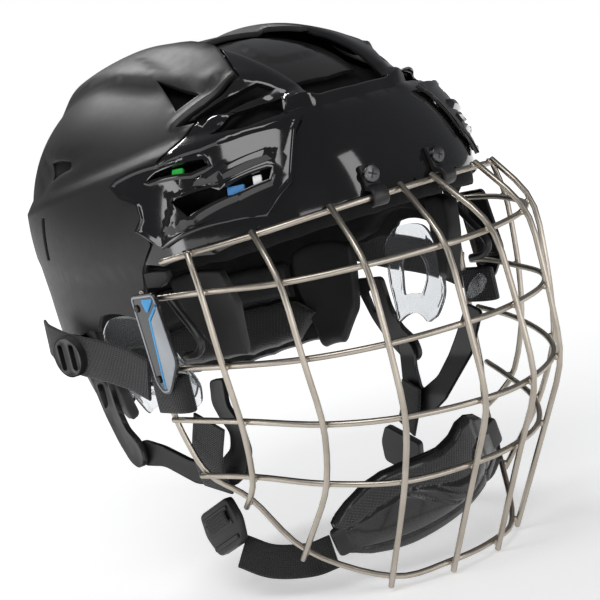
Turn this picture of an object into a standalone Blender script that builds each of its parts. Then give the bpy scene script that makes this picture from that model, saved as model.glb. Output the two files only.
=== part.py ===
"""Ice hockey helmet with a wire face cage, side straps, ear guards and a chin cup.

The helmet stands upright as worn: the face looks along -Y, the wearer's left is +X and up is +Z.
The origin lies inside the helmet, at the height of the cage's top wire. Lengths are in millimetres.
"""

import math

import bpy
import numpy as np
from mathutils.geometry import delaunay_2d_cdt

MM = 0.001

# Outer dome of the helmet
HALF_WIDTH = 103.0
FRONT_LENGTH = 134.0
REAR_LENGTH = 135.0
CROWN_HEIGHT = 99.0
SKIRT_DEPTH = 150.0
DOME_CENTRE = np.array([0.0, -1.0, -12.0])

# Walls and gaps
SHELL_WALL = 2.6
BEZEL_WALL = 2.4
FIT_GAP = 0.35
LINING_GAP = 0.9
BELT_STEP = 3.2
RIDGE_RISE = 5.0
INSERT_DROP = 3.2

# Cage
WIRE_RADIUS = 1.5
WELD_GAP = 0.3
CAGE_PIVOT = np.array([0.0, -135.9, -2.7])
CAGE_SIDE = 104.5

# Straps
STRAP_WIDTH = 22.0
STRAP_WALL = 1.6

SHELL_STEP = 11.0
LINER_STEP = 18.0
FLAT_SCALE = 100.0


# ---------------------------------------------------------------- materials


def material(name, colour, metallic=0.0, roughness=0.5, transmission=0.0):
    made = bpy.data.materials.new(name)
    made.use_nodes = True
    shader = made.node_tree.nodes["Principled BSDF"]
    shader.inputs["Base Color"].default_value = (*colour, 1.0)
    shader.inputs["Metallic"].default_value = metallic
    shader.inputs["Roughness"].default_value = roughness
    shader.inputs["Transmission Weight"].default_value = transmission
    made.diffuse_color = (*colour, 1.0)
    return made


LOOKS = {
    "matte": ((0.030, 0.028, 0.027), 0.0, 0.55, 0.0),
    "gloss": ((0.010, 0.010, 0.011), 0.0, 0.12, 0.0),
    "crown": ((0.060, 0.058, 0.056), 0.0, 0.25, 0.0),
    "foam": ((0.018, 0.018, 0.019), 0.0, 0.90, 0.0),
    "pad": ((0.055, 0.053, 0.052), 0.0, 0.70, 0.0),
    "clear": ((0.75, 0.77, 0.80), 0.0, 0.08, 0.80),
    "grey": ((0.100, 0.098, 0.095), 0.0, 0.60, 0.0),
    "wire": ((0.560, 0.520, 0.460), 1.0, 0.32, 0.0),
    "steel": ((0.350, 0.350, 0.350), 1.0, 0.30, 0.0),
    "web": ((0.015, 0.015, 0.016), 0.0, 0.85, 0.0),
    "label": ((0.080, 0.085, 0.090), 0.0, 0.35, 0.0),
}


# ---------------------------------------------------------------- meshes


def facing_out(points, faces):
    """The faces, turned over if they point into the solid."""
    volume = 0.0
    for face in faces:
        for k in range(1, len(face) - 1):
            a, b, c = points[face[0]], points[face[k]], points[face[k + 1]]
            volume += a @ np.cross(b, c)
    return faces if volume > 0 else [face[::-1] for face in faces]


def add_mesh(name, points, faces, look, origin=(0.0, 0.0, 0.0), smooth_angle=35.0):
    origin = np.asarray(origin, float)
    faces = facing_out(points, faces)
    mesh = bpy.data.meshes.new(name)
    mesh.from_pydata(((points - origin) * MM).tolist(), [], faces)
    mesh.materials.append(material(name, *LOOKS[look]))
    mesh.shade_smooth()
    mesh.set_sharp_from_angle(angle=math.radians(smooth_angle))
    made = bpy.data.objects.new(name, mesh)
    made.location = origin * MM
    bpy.context.scene.collection.objects.link(made)
    return made


def mirrored(points, faces):
    """The same solid on the other side of the helmet."""
    return points * np.array([-1.0, 1.0, 1.0]), [face[::-1] for face in faces]


def add_pair(name, points, faces, look, **more):
    """The solid given is on the wearer's right; its mirror image goes on the left."""
    add_mesh(name + "_right", points, faces, look, **more)
    add_mesh(name + "_left", *mirrored(points, faces), look, **more)


def smoothstep(start, end, value):
    t = np.clip((value - start) / (end - start), 0.0, 1.0)
    return t * t * (3.0 - 2.0 * t)


# ---------------------------------------------------------------- dome


def dome_level(points):
    """1 on the outer dome, less inside it."""
    x, y, z = np.moveaxis(np.asarray(points, float) - DOME_CENTRE, -1, 0)
    front = 1.0 / (1.0 + np.exp(np.clip(y / 12.0, -50.0, 50.0)))
    plan = 2.15 + 0.10 * front
    side = 2.50 - 0.55 * front
    length = np.where(y < 0, FRONT_LENGTH, REAR_LENGTH)
    height = np.where(z > 0, CROWN_HEIGHT, SKIRT_DEPTH)
    around = np.abs(x / HALF_WIDTH) ** plan + np.abs(y / length) ** plan
    return around ** (side / plan) + np.abs(z / height) ** side


def on_dome(directions):
    """The dome's points in these directions from its centre."""
    low = np.zeros(len(directions))
    high = np.full(len(directions), 400.0)
    for _ in range(40):
        middle = (low + high) / 2
        inside = dome_level(DOME_CENTRE + directions * middle[:, None]) < 1.0
        low = np.where(inside, middle, low)
        high = np.where(inside, high, middle)
    return DOME_CENTRE + directions * low[:, None]


def dome_normals(points):
    slope = []
    for axis in range(3):
        step = np.zeros(3)
        step[axis] = 0.01
        slope.append(dome_level(points + step) - dome_level(points - step))
    normals = np.stack(slope, axis=-1)
    return normals / np.linalg.norm(normals, axis=1, keepdims=True)


def lift(flat):
    """Flat plan coordinates to the dome."""
    flat = np.asarray(flat, float)
    polar = np.hypot(flat[:, 0], flat[:, 1]) / FLAT_SCALE
    around = np.arctan2(flat[:, 0], -flat[:, 1])
    directions = np.stack(
        [
            np.sin(polar) * np.sin(around),
            -np.sin(polar) * np.cos(around),
            np.cos(polar),
        ],
        axis=1,
    )
    return on_dome(directions)


def flatten(point):
    """A point on the dome to flat plan coordinates."""
    x, y, z = np.asarray(point, float) - DOME_CENTRE
    polar = math.atan2(math.hypot(x, y), z)
    around = math.atan2(x, -y)
    return (
        FLAT_SCALE * polar * math.sin(around),
        -FLAT_SCALE * polar * math.cos(around),
    )


def solve(make_point):
    """The parameter, from 0 to 1, at which make_point crosses the dome."""
    low, high = 0.0, 1.0
    for _ in range(40):
        middle = (low + high) / 2
        if dome_level(make_point(middle)) < 1.0:
            low = middle
        else:
            high = middle
    return make_point(low)


def top(x, y):
    """The dome point above this place in plan, flattened."""
    return flatten(solve(lambda t: np.array([x, y, -12.0 + 130.0 * t])))


def side(y, z, hand=-1.0):
    """The dome point beside this place in side view, flattened."""
    return flatten(solve(lambda t: np.array([hand * 130.0 * t, y, z])))


def around(degrees, z):
    """The dome point at this height and bearing, from 0 at the front to 90 on the right, flattened."""
    turn = math.radians(degrees)
    out = np.array([-math.sin(turn), -math.cos(turn), 0.0])
    start = np.array([0.0, DOME_CENTRE[1], z])
    return flatten(solve(lambda t: start + out * 180.0 * t))


def ahead(x, z):
    """The dome point in front of this place in front view, flattened."""
    return flatten(solve(lambda t: np.array([x, -180.0 * t, z])))


def skirt(*stops):
    """Dome points along a lower edge, through these (bearing, height) stops, flattened."""
    bearings, heights = zip(*stops)
    parts = math.ceil((bearings[-1] - bearings[0]) / 9.0)
    evenly = np.linspace(bearings[0], bearings[-1], parts + 1)
    return [around(bearing, np.interp(bearing, bearings, heights)) for bearing in evenly]


def both_sides(half):
    """A closed outline from the half of it on the right, which runs between the mid-plane's ends."""
    other = [(-u, v) for u, v in reversed(half) if abs(u) > 1e-6]
    return list(half) + other


BELT_Y = (-119.0, -95.0, -62.0, -37.0, 0.0, 35.0, 60.0, 90.0, 140.0)
BELT_Z = (46.5, 45.0, 42.0, 38.0, 33.5, 30.0, 27.0, 24.0, 22.0)
RIDGE_Y = (-112.0, -93.0, -75.0, -55.0, -22.0, 0.0, 60.0, 100.0)
RIDGE_INNER = (22.0, 24.0, 26.0, 27.0, 23.0, 24.0, 28.0, 34.0)
RIDGE_OUTER = (27.0, 33.0, 42.0, 50.0, 55.0, 56.0, 52.0, 44.0)


def relief(points):
    """How far the shell's styling stands off the plain dome."""
    x, y, z = np.abs(points[:, 0]), points[:, 1], points[:, 2]
    drop = np.interp(y, BELT_Y, BELT_Z) - z
    belt = BELT_STEP * np.clip(drop / 7.0, 0.0, 1.0)
    belt = belt * (1.0 - np.clip((drop - 7.0) / 45.0, 0.0, 1.0))
    inner = np.interp(y, RIDGE_Y, RIDGE_INNER)
    outer = np.interp(y, RIDGE_Y, RIDGE_OUTER)
    ridge = smoothstep(inner - 4.0, inner + 3.0, x)
    ridge = ridge * (1.0 - smoothstep(outer - 3.0, outer + 8.0, x))
    ridge = ridge * smoothstep(-114.0, -100.0, y) * (1.0 - smoothstep(50.0, 105.0, y))
    return belt + RIDGE_RISE * ridge


# ---------------------------------------------------------------- dome panels


def inside_loop(points, loop):
    points = np.asarray(points, float)
    loop = np.asarray(loop, float)
    found = np.zeros(len(points), bool)
    for start, end in zip(loop, np.roll(loop, -1, axis=0)):
        crosses = (start[1] > points[:, 1]) != (end[1] > points[:, 1])
        rise = end[1] - start[1] if end[1] != start[1] else 1e-9
        at = start[0] + (points[:, 1] - start[1]) * (end[0] - start[0]) / rise
        found ^= crosses & (points[:, 0] < at)
    return found


def densified(loop, step):
    dense = []
    for start, end in zip(loop, loop[1:] + loop[:1]):
        start, end = np.array(start), np.array(end)
        parts = max(1, math.ceil(np.linalg.norm(end - start) / step))
        dense += [start + (end - start) * k / parts for k in range(parts)]
    return np.array(dense)


def far_from(points, loop, least):
    keep = np.ones(len(points), bool)
    for start, end in zip(loop, np.roll(loop, -1, axis=0)):
        run = end - start
        t = np.clip((points - start) @ run / max(run @ run, 1e-12), 0.0, 1.0)
        keep &= np.linalg.norm(points - start - t[:, None] * run, axis=1) > least
    return keep


def panel(outline, step, outer, wall, holes=(), shaped=True):
    """A panel of the dome: outer is how far its outside stands off the dome, wall its thickness.

    Both may be functions of the dome's points.
    """
    loops = [densified(list(outline), step)]
    loops += [densified(list(hole), step) for hole in holes]
    low, high = loops[0].min(axis=0), loops[0].max(axis=0)
    columns = np.arange(-math.ceil(-low[0] / step), math.ceil(high[0] / step) + 1)
    rows = np.arange(math.floor(low[1] / step), math.ceil(high[1] / step) + 1)
    u, v = np.meshgrid(columns * step, rows * step)
    v = v + np.where(np.abs(np.round(u / step)) % 2 == 1, step / 2, 0.0)
    grid = np.stack([u.ravel(), v.ravel()], axis=1)
    grid = grid[inside_loop(grid, loops[0])]
    for loop in loops:
        grid = grid[far_from(grid, loop, 0.45 * step)]
    points, edges = [], []
    for loop in loops:
        first = len(points)
        points += list(loop)
        edges += [(first + k, first + (k + 1) % len(loop)) for k in range(len(loop))]
    points += list(grid)
    found = delaunay_2d_cdt([tuple(p) for p in points], edges, [], 0, 1e-6)
    flat = np.array([tuple(p) for p in found[0]])
    triangles = np.array([tuple(face) for face in found[2]])
    corners = flat[triangles]
    centres = corners.mean(axis=1)
    keep = inside_loop(centres, loops[0])
    for loop in loops[1:]:
        keep &= ~inside_loop(centres, loop)
    triangles = triangles[keep]
    corners = flat[triangles]
    turn = np.cross(corners[:, 1] - corners[:, 0], corners[:, 2] - corners[:, 0])
    triangles[turn < 0] = triangles[turn < 0][:, ::-1]
    used, triangles = np.unique(triangles, return_inverse=True)
    triangles = triangles.reshape(-1, 3)
    base = lift(flat[used])
    normals = dome_normals(base)
    stand = outer(base) if callable(outer) else np.full(len(base), float(outer))
    depth = wall(base) if callable(wall) else np.full(len(base), float(wall))
    if shaped:
        stand = stand + relief(base)
    outside = base + normals * stand[:, None]
    within = base + normals * (stand - depth)[:, None]
    return skinned(outside, within, triangles)


def skinned(outside, within, triangles):
    """A closed solid between two matching skins."""
    count = len(outside)
    edges = {}
    for a, b, c in triangles.tolist():
        for edge in ((a, b), (b, c), (c, a)):
            edges[edge] = True
    rim = [edge for edge in edges if (edge[1], edge[0]) not in edges]
    faces = [tuple(face) for face in triangles.tolist()]
    faces += [(c + count, b + count, a + count) for a, b, c in triangles.tolist()]
    faces += [(b, a, a + count, b + count) for a, b in rim]
    return np.concatenate([outside, within]), faces


# ---------------------------------------------------------------- rods and ribbons


def spline(points, parts):
    """A smooth curve through the points."""
    points = np.asarray(points, float)
    ends = np.concatenate([[2 * points[0] - points[1]], points, [2 * points[-1] - points[-2]]])
    curve = []
    for k in range(1, len(ends) - 2):
        a, b, c, d = ends[k - 1 : k + 3]
        for t in np.arange(parts) / parts:
            curve.append(
                0.5
                * (
                    2 * b
                    + (c - a) * t
                    + (2 * a - 5 * b + 4 * c - d) * t**2
                    + (3 * b - a - 3 * c + d) * t**3
                )
            )
    return np.array(curve + [points[-1]])


def rounded(points, reach, parts=3):
    """A polyline with its corners rounded; reach is how far from the corner the bend begins."""
    points = np.asarray(points, float)
    path = [points[0]]
    for before, corner, after in zip(points, points[1:], points[2:]):
        into, away = before - corner, after - corner
        near = min(reach, 0.45 * np.linalg.norm(into))
        far = min(reach, 0.45 * np.linalg.norm(away))
        start = corner + into / np.linalg.norm(into) * near
        end = corner + away / np.linalg.norm(away) * far
        for t in np.arange(parts + 1) / parts:
            path.append((1 - t) ** 2 * start + 2 * t * (1 - t) * corner + t**2 * end)
    path.append(points[-1])
    return np.array(path)


def tangents(path):
    run = np.gradient(path, axis=0)
    return run / np.linalg.norm(run, axis=1, keepdims=True)


def swept(rings):
    """A closed solid through rings of matching points, with flat ends."""
    count = len(rings[0])
    faces = [tuple(range(count - 1, -1, -1))]
    for k in range(len(rings) - 1):
        for i in range(count):
            j = (i + 1) % count
            a, b = k * count, (k + 1) * count
            faces.append((a + i, a + j, b + j, b + i))
    last = (len(rings) - 1) * count
    faces.append(tuple(last + i for i in range(count)))
    return np.concatenate(rings), faces


def rod(path, radius, sides=8):
    along = tangents(path)
    across = np.cross(along[0], [0.31, 0.47, 0.83])
    rings = []
    for point, run in zip(path, along):
        across = across - run * (across @ run)
        across = across / np.linalg.norm(across)
        up = np.cross(run, across)
        turns = 2 * math.pi * np.arange(sides) / sides
        rings.append(
            point + radius * (np.cos(turns)[:, None] * across + np.sin(turns)[:, None] * up)
        )
    return swept(rings)


def ribbon(path, widths, width, wall):
    """A strap along the path: widths are the directions of its width."""
    along = tangents(path)
    widths = np.broadcast_to(np.asarray(widths, float), path.shape)
    rings = []
    for point, run, wide in zip(path, along, widths):
        wide = wide - run * (wide @ run)
        wide = wide / np.linalg.norm(wide)
        thick = np.cross(run, wide)
        half, deep = wide * width / 2, thick * wall / 2
        rings.append(point + np.array([-half - deep, half - deep, half + deep, -half + deep]))
    return swept(rings)


def plate(outline, x_inner, x_outer):
    """A flat plate in side view on the wearer's right; the outline is of (y, z)."""
    inner = np.array([(x_inner, y, z) for y, z in outline])
    outer = np.array([(x_outer, y, z) for y, z in outline])
    turn = sum(a[0] * b[1] - b[0] * a[1] for a, b in zip(outline, outline[1:] + outline[:1]))
    if turn > 0:
        inner, outer = inner[::-1], outer[::-1]
    return swept([inner, outer])


def frame_of(forward, upward):
    forward = np.asarray(forward, float) / np.linalg.norm(forward)
    right = np.cross(forward, upward)
    right = right / np.linalg.norm(right)
    return right, np.cross(right, forward), forward


def extruded(centre, outline, forward, upward, depth, chamfer=0.0):
    """A prism whose outline, (right, up), faces forward, with its front edge chamfered."""
    right, up, forward = frame_of(forward, upward)
    flat = np.array([a * right + b * up for a, b in outline])
    shrink = 1.0 - chamfer / max(np.linalg.norm(flat, axis=1).max(), 1e-9)
    rings = [centre + flat, centre + flat + forward * (depth - chamfer)]
    if chamfer:
        rings.append(centre + flat * shrink + forward * depth)
    turn = sum(a[0] * b[1] - b[0] * a[1] for a, b in zip(outline, outline[1:] + outline[:1]))
    if turn < 0:
        rings = [ring[::-1] for ring in rings]
    return swept(rings)


def circle(radius, sides, squash=1.0, start=0.0):
    turns = start + 2 * math.pi * np.arange(sides) / sides
    return [(radius * math.cos(t), squash * radius * math.sin(t)) for t in turns]


# ---------------------------------------------------------------- outer shells


def build_shells():
    rear_half = [
        top(0.0, -20.0),
        top(-22.0, -20.0),
        top(-26.5, -44.0),
        top(-40.0, -75.0),
        top(-57.0, -68.5),
        top(-70.5, -59.5),
        side(-70.0, 47.5),
        side(-62.0, 36.0),
        side(-55.0, 30.0),
        side(-50.0, 12.0),
        side(-55.0, -3.0),
        side(-46.0, -14.0),
        side(-41.0, -28.0),
        side(-37.0, -41.0),
        side(-26.0, -37.0),
        side(1.0, -36.0),
        side(8.0, -44.0),
        *skirt((108.0, -46.0), (135.0, -47.0), (160.0, -52.0), (180.0, -54.0)),
    ]
    rear_vent = [side(38.0, 44.0), side(12.0, 43.0), side(11.0, 39.0), side(32.0, 35.0)]
    crown_vent = [top(-55.0, -31.0), top(-54.0, -62.0), top(-65.0, -55.0)]
    rear_slot = [side(38.0, 17.0), side(33.0, 17.0), side(40.0, -5.0), side(45.0, -5.0)]
    back_vent = [top(-12.0, 78.0), top(-27.0, 74.0), top(-33.0, 98.0), top(-14.0, 104.0)]
    low_vent = [around(176.0, 8.0), around(158.0, 8.0), around(160.0, -4.0), around(176.0, -6.0)]
    holes = []
    for hole in (rear_vent, crown_vent, rear_slot, back_vent, low_vent):
        holes.append(hole)
        holes.append([(-u, v) for u, v in hole])
    add_mesh(
        "rear_shell",
        *panel(both_sides(rear_half), 1.2 * SHELL_STEP, 0.0, SHELL_WALL, holes),
        "matte",
    )

    front_half = [
        top(0.0, -109.0),
        top(-22.0, -107.0),
        top(-24.0, -97.0),
        top(-26.5, -80.0),
        top(-27.4, -64.0),
        top(-27.3, -48.6),
        top(-38.9, -75.4),
        top(-39.3, -77.4),
        top(-57.6, -70.6),
        top(-66.0, -65.6),
        side(-74.5, 49.6),
        side(-63.3, 35.4),
        side(-56.2, 29.6),
        side(-51.2, 12.0),
        side(-56.2, -3.0),
        side(-49.0, -12.0),
        side(-60.0, -14.0),
        side(-87.0, -12.5),
        side(-110.0, -8.5),
        around(20.0, -5.5),
        around(0.0, -5.0),
    ]
    window = [
        side(-62.0, 27.0),
        side(-84.0, 30.0),
        ahead(-60.0, 31.5),
        ahead(-43.0, 30.0),
        ahead(-56.0, 13.0),
        ahead(-68.0, 6.5),
        side(-86.0, 3.0),
        side(-70.0, 3.0),
        side(-60.0, 11.0),
    ]
    scoop_upper = [
        top(-64.0, -68.0),
        top(-48.0, -77.5),
        top(-37.0, -86.0),
        top(-33.5, -94.0),
        top(-46.0, -87.0),
        top(-65.0, -75.5),
    ]
    scoop_lower = [
        top(-66.0, -80.0),
        top(-48.0, -91.0),
        top(-35.0, -99.5),
        top(-38.0, -103.0),
        top(-54.0, -95.0),
    ]
    holes = []
    for hole in (window, scoop_upper, scoop_lower):
        holes.append(hole)
        holes.append([(-u, v) for u, v in hole])
    add_mesh(
        "front_shell",
        *panel(both_sides(front_half), SHELL_STEP, 0.0, SHELL_WALL, holes),
        "gloss",
    )

    insert_half = [
        top(0.0, 2.0),
        top(-17.0, 2.0),
        top(-19.0, -20.0),
        top(-23.5, -46.0),
        top(-24.0, -64.0),
        top(-22.5, -80.0),
        top(-20.5, -92.0),
        top(0.0, -95.0),
    ]

    def insert_stand(points):
        tongue = smoothstep(-24.0, -19.0, points[:, 1])
        return -INSERT_DROP - 1.8 * tongue

    add_mesh(
        "crown_insert",
        *panel(both_sides(insert_half), SHELL_STEP, insert_stand, 2.2, shaped=False),
        "crown",
    )

    bezel = [
        side(-33.0, 25.0),
        side(-37.0, 27.5),
        side(-62.0, 31.0),
        side(-81.0, 34.0),
        ahead(-63.0, 35.5),
        ahead(-50.0, 36.5),
        ahead(-34.0, 37.0),
        ahead(-40.0, 32.0),
        ahead(-52.0, 11.5),
        ahead(-58.0, 7.0),
        ahead(-65.0, -0.5),
        side(-96.0, 0.5),
        side(-72.0, -3.0),
        side(-64.0, -6.0),
        side(-50.0, 4.0),
        side(-54.0, 9.0),
        side(-52.0, 15.0),
        side(-41.0, 19.0),
    ]
    slots = (
        [side(-57.0, 24.0), side(-62.0, 27.0), side(-84.0, 28.5), side(-87.0, 25.5), side(-80.0, 24.0)],
        [ahead(-76.0, 13.5), ahead(-71.0, 16.0), ahead(-56.0, 19.0), ahead(-59.0, 14.5), ahead(-73.0, 10.5)],
        [side(-72.0, 13.5), side(-90.0, 16.0), side(-98.0, 11.5), side(-80.0, 6.0)],
    )
    add_pair(
        "side_bezel",
        *panel(bezel, SHELL_STEP, BEZEL_WALL + LINING_GAP, BEZEL_WALL, slots),
        "gloss",
    )

    bumper = [side(-47.6, -16.0), side(-61.0, -16.5), side(-61.0, -20.0), side(-56.0, -23.5), side(-47.6, -23.0)]
    add_pair("side_bumper", *panel(bumper, SHELL_STEP, 1.5, 4.5), "grey")


# ---------------------------------------------------------------- inside


def front_liner_stand(points):
    """Under the front shell, and lower where the crown insert or the rear shell is above it."""
    x, y = np.abs(points[:, 0]), points[:, 1]
    covered = smoothstep(-92.0, -78.0, y)
    crown = (1.0 - smoothstep(28.0, 38.0, x)) * smoothstep(-106.0, -98.0, y)
    return -SHELL_WALL - FIT_GAP - 5.2 * np.maximum(covered, crown)


def liner_wall(points):
    x, y, z = points[:, 0], points[:, 1], points[:, 2]
    ends = np.abs(y) / np.maximum(np.hypot(x, y), 1.0)
    return 9.0 + 7.0 * ends**2 * (1.0 - smoothstep(30.0, 70.0, z))


def build_liners():
    front_half = [
        top(0.0, 12.0),
        top(-40.0, 12.0),
        top(-78.0, 5.0),
        side(-18.0, 20.0),
        side(-36.0, 0.0),
        side(-42.0, -16.0),
        *skirt((0.0, -11.0), (20.0, -12.0), (32.0, -15.0), (46.0, -18.0), (59.0, -19.0))[::-1],
    ]
    add_mesh(
        "front_liner",
        *panel(both_sides(front_half), LINER_STEP, front_liner_stand, liner_wall, shaped=False),
        "foam",
    )
    rear_half = [
        top(0.0, 14.0),
        top(-40.5, 14.0),
        top(-78.0, 7.0),
        side(-15.5, 20.0),
        side(-33.5, 0.0),
        side(-35.0, -14.0),
        side(-30.0, -30.0),
        side(2.0, -30.0),
        side(18.0, -40.0),
        *skirt((108.0, -44.0), (120.0, -49.5), (135.0, -49.5), (150.0, -48.0), (180.0, -47.5)),
    ]
    add_mesh(
        "rear_liner",
        *panel(both_sides(rear_half), LINER_STEP, -SHELL_WALL - LINING_GAP, 11.0, shaped=False),
        "foam",
    )

    upper_half = [*skirt((136.0, -50.5), (180.0, -50.5))[::-1], *skirt((136.0, -72.0), (180.0, -74.0))]
    add_mesh(
        "nape_pad",
        *panel(both_sides(upper_half), 12.0, -9.0, 8.0, shaped=False),
        "pad",
    )
    lower_half = [
        *skirt((136.0, -75.0), (180.0, -77.0))[::-1],
        *skirt((128.0, -84.0), (129.0, -97.0), (155.0, -103.0), (180.0, -98.0)),
    ]
    add_mesh(
        "nape_cushion",
        *panel(both_sides(lower_half), 12.0, -9.0, 9.0, shaped=False),
        "pad",
    )
    carrier_half = [
        *skirt((124.0, -52.0), (140.0, -56.0), (180.0, -58.0))[::-1],
        side(46.0, -62.0),
        side(47.0, -84.0),
        *skirt((124.0, -97.0), (155.0, -105.0), (180.0, -101.0)),
    ]
    add_mesh(
        "nape_carrier",
        *panel(both_sides(carrier_half), 12.0, -3.2, 4.5, shaped=False),
        "grey",
    )
    temple = [side(-50.0, -23.0), side(-82.0, -23.0), side(-85.0, -42.0), side(-78.0, -68.0), side(-64.0, -68.0)]
    temple.append(side(-54.0, -45.0))
    add_pair("temple_pad", *panel(temple, 12.0, -10.0, 7.0, shaped=False), "pad")


def build_crown_pad():
    """Its flat underside is what the wearer's head meets."""
    base = 52.0
    rise = 7.0
    outline = [(34.0 * math.sin(t), -18.0 - 38.0 * math.cos(t)) for t in np.arange(16) * math.pi / 8]
    low = np.array([(x, y, base) for x, y in outline])
    high = np.array([(0.92 * x, -18.0 + 0.92 * (y + 18.0), base + rise) for x, y in outline])
    add_mesh("crown_pad", *swept([low, high]), "pad")


# ---------------------------------------------------------------- cage


CROSSINGS = {
    0: ((98.0, -87.0, -8.0), (76.5, -110.4, -4.4), (45.9, -131.7, -1.3), (9.8, -140.0, 0.0)),
    1: ((99.0, -92.0, -27.3), (81.2, -130.5, -27.3), (51.5, -156.1, -27.3), (15.0, -169.6, -27.3)),
    2: ((97.0, -92.0, -64.0), (79.4, -131.0, -65.5), (51.1, -158.2, -66.0), (15.7, -172.9, -66.0)),
    3: ((93.0, -90.5, -92.5), (75.5, -130.2, -98.5), (50.8, -158.2, -102.0), (15.8, -174.7, -104.0)),
    4: ((87.5, -80.0, -124.0), (70.9, -114.0, -130.0), (46.5, -140.2, -135.0), (14.9, -154.3, -136.0)),
    5: ((82.5, -61.5, -137.0), (69.5, -80.0, -166.0), (43.3, -109.0, -186.0), (15.1, -123.3, -187.0)),
}
BAR_ENDS = {
    0: ((102.5, -70.0, -10.5),),
    1: ((103.6, -62.0, -27.3), (CAGE_SIDE, -47.0, -27.3)),
    2: ((103.0, -62.0, -62.0), (CAGE_SIDE, -47.0, -62.0)),
    3: ((102.5, -46.5, -88.0),),
    4: ((97.0, -50.0, -118.0),),
    5: ((92.5, -50.0, -119.0),),
}


def outward(point):
    """The direction in which the uprights lie over the bars at this crossing."""
    x, y, z = point
    low = -55.0 if z < -136.5 else (-25.0 if z < -120.0 else 0.0)
    high = 18.0 if z > -10.0 else 0.0
    way = np.array([x, y + 55.0, low + high])
    return way / np.linalg.norm(way)


def upright_path(column):
    """An upright from just above the top wire to just past the frame wire, on the wearer's left."""
    points = [np.array(CROSSINGS[row][column]) for row in range(6)]
    first = (points[0] - points[1]) / np.linalg.norm(points[0] - points[1])
    last = (points[5] - points[4]) / np.linalg.norm(points[5] - points[4])
    points = [points[0] + 0.4 * first] + points[1:5] + [points[5] + 3.5 * last]
    return rounded(points, 14.0)


def under_upright(path, row, column):
    """Where the wire in this row passes behind the upright."""
    point = np.array(CROSSINGS[row][column])
    starts, ends = path[:-1], path[1:]
    runs = ends - starts
    t = np.einsum("ij,ij->i", point - starts, runs) / np.einsum("ij,ij->i", runs, runs)
    near = starts + np.clip(t, 0.0, 1.0)[:, None] * runs
    index = np.linalg.norm(near - point, axis=1).argmin()
    row_points = [BAR_ENDS[row][0], *CROSSINGS[row], np.array(CROSSINGS[row][3]) * (-1.0, 1.0, 1.0)]
    across = np.array(row_points[column + 2]) - np.array(row_points[column])
    away = np.cross(runs[index], across)
    away = away / np.linalg.norm(away)
    away = away if away @ outward(point) > 0 else -away
    return near[index] - away * (2 * WIRE_RADIUS + WELD_GAP)


def add_wire(name, path):
    add_mesh(name, *rod(path, WIRE_RADIUS), "wire", origin=CAGE_PIVOT)


def bar_path(uprights, row):
    """The top wire, one of the four bars, or the frame wire, from the left side to the right."""
    near = [np.array(p) for p in reversed(BAR_ENDS[row])]
    if row == 5:
        inset = 2 * WIRE_RADIUS + WELD_GAP
        near = [
            np.array((CAGE_SIDE - inset, -44.0, -24.0)),
            np.array((CAGE_SIDE - inset, -43.5, -60.0)),
            np.array((CAGE_SIDE - inset - 1.0, -43.0, -80.0)),
            np.array((97.5, -45.0, -100.0)),
        ] + near
    near += [under_upright(uprights[k], row, k) for k in range(4)]
    far = [p * np.array([-1.0, 1.0, 1.0]) for p in reversed(near)]
    return spline(near + far, 2)


def build_cage():
    uprights = [upright_path(column) for column in range(4)]
    for column, path in enumerate(uprights):
        left = rod(path, WIRE_RADIUS)
        name = "cage_upright_%s_%d"
        add_mesh(name % ("left", column + 1), *left, "wire", origin=CAGE_PIVOT)
        add_mesh(name % ("right", column + 1), *mirrored(*left), "wire", origin=CAGE_PIVOT)
    names = ("cage_top_wire", "cage_bar_1", "cage_bar_2", "cage_bar_3", "cage_bar_4", "cage_frame_wire")
    for row, name in enumerate(names):
        add_wire(name, bar_path(uprights, row))
    badge = [(-44.0, -24.5), (-66.0, -23.5), (-72.0, -58.0), (-60.0, -73.0), (-53.0, -73.5), (-48.5, -68.0)]
    inner = -CAGE_SIDE - WIRE_RADIUS - FIT_GAP
    add_pair("side_plate", *plate(badge, inner, inner - 2.4), "label", origin=CAGE_PIVOT)


# ---------------------------------------------------------------- fittings


def front_at(x, z):
    """Where the front shell's outside is at this place in front view."""
    point = solve(lambda t: np.array([x, -180.0 * t, z]))
    normal = dome_normals(point[None])[0]
    return point + normal * relief(point[None])[0], normal


def flat_panel(outline, step, place, wall, holes=()):
    """A bent sheet from a flat outline: place gives the middle surface, and x is its thickness."""
    loops = [densified(list(loop), step) for loop in (outline, *holes)]
    points, edges = [], []
    for loop in loops:
        first = len(points)
        points += list(loop)
        edges += [(first + k, first + (k + 1) % len(loop)) for k in range(len(loop))]
    found = delaunay_2d_cdt([tuple(p) for p in points], edges, [], 0, 1e-6)
    flat = np.array([tuple(p) for p in found[0]])
    triangles = np.array([tuple(face) for face in found[2]])
    centres = flat[triangles].mean(axis=1)
    keep = inside_loop(centres, loops[0])
    for loop in loops[1:]:
        keep &= ~inside_loop(centres, loop)
    triangles = triangles[keep]
    corners = flat[triangles]
    turn = np.cross(corners[:, 1] - corners[:, 0], corners[:, 2] - corners[:, 0])
    triangles[turn < 0] = triangles[turn < 0][:, ::-1]
    used, triangles = np.unique(triangles, return_inverse=True)
    middle = place(flat[used])
    half = np.array([wall / 2, 0.0, 0.0])
    return skinned(middle + half, middle - half, triangles.reshape(-1, 3))


def at_x(x):
    return lambda flat: np.column_stack([np.full(len(flat), x), flat])


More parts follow.
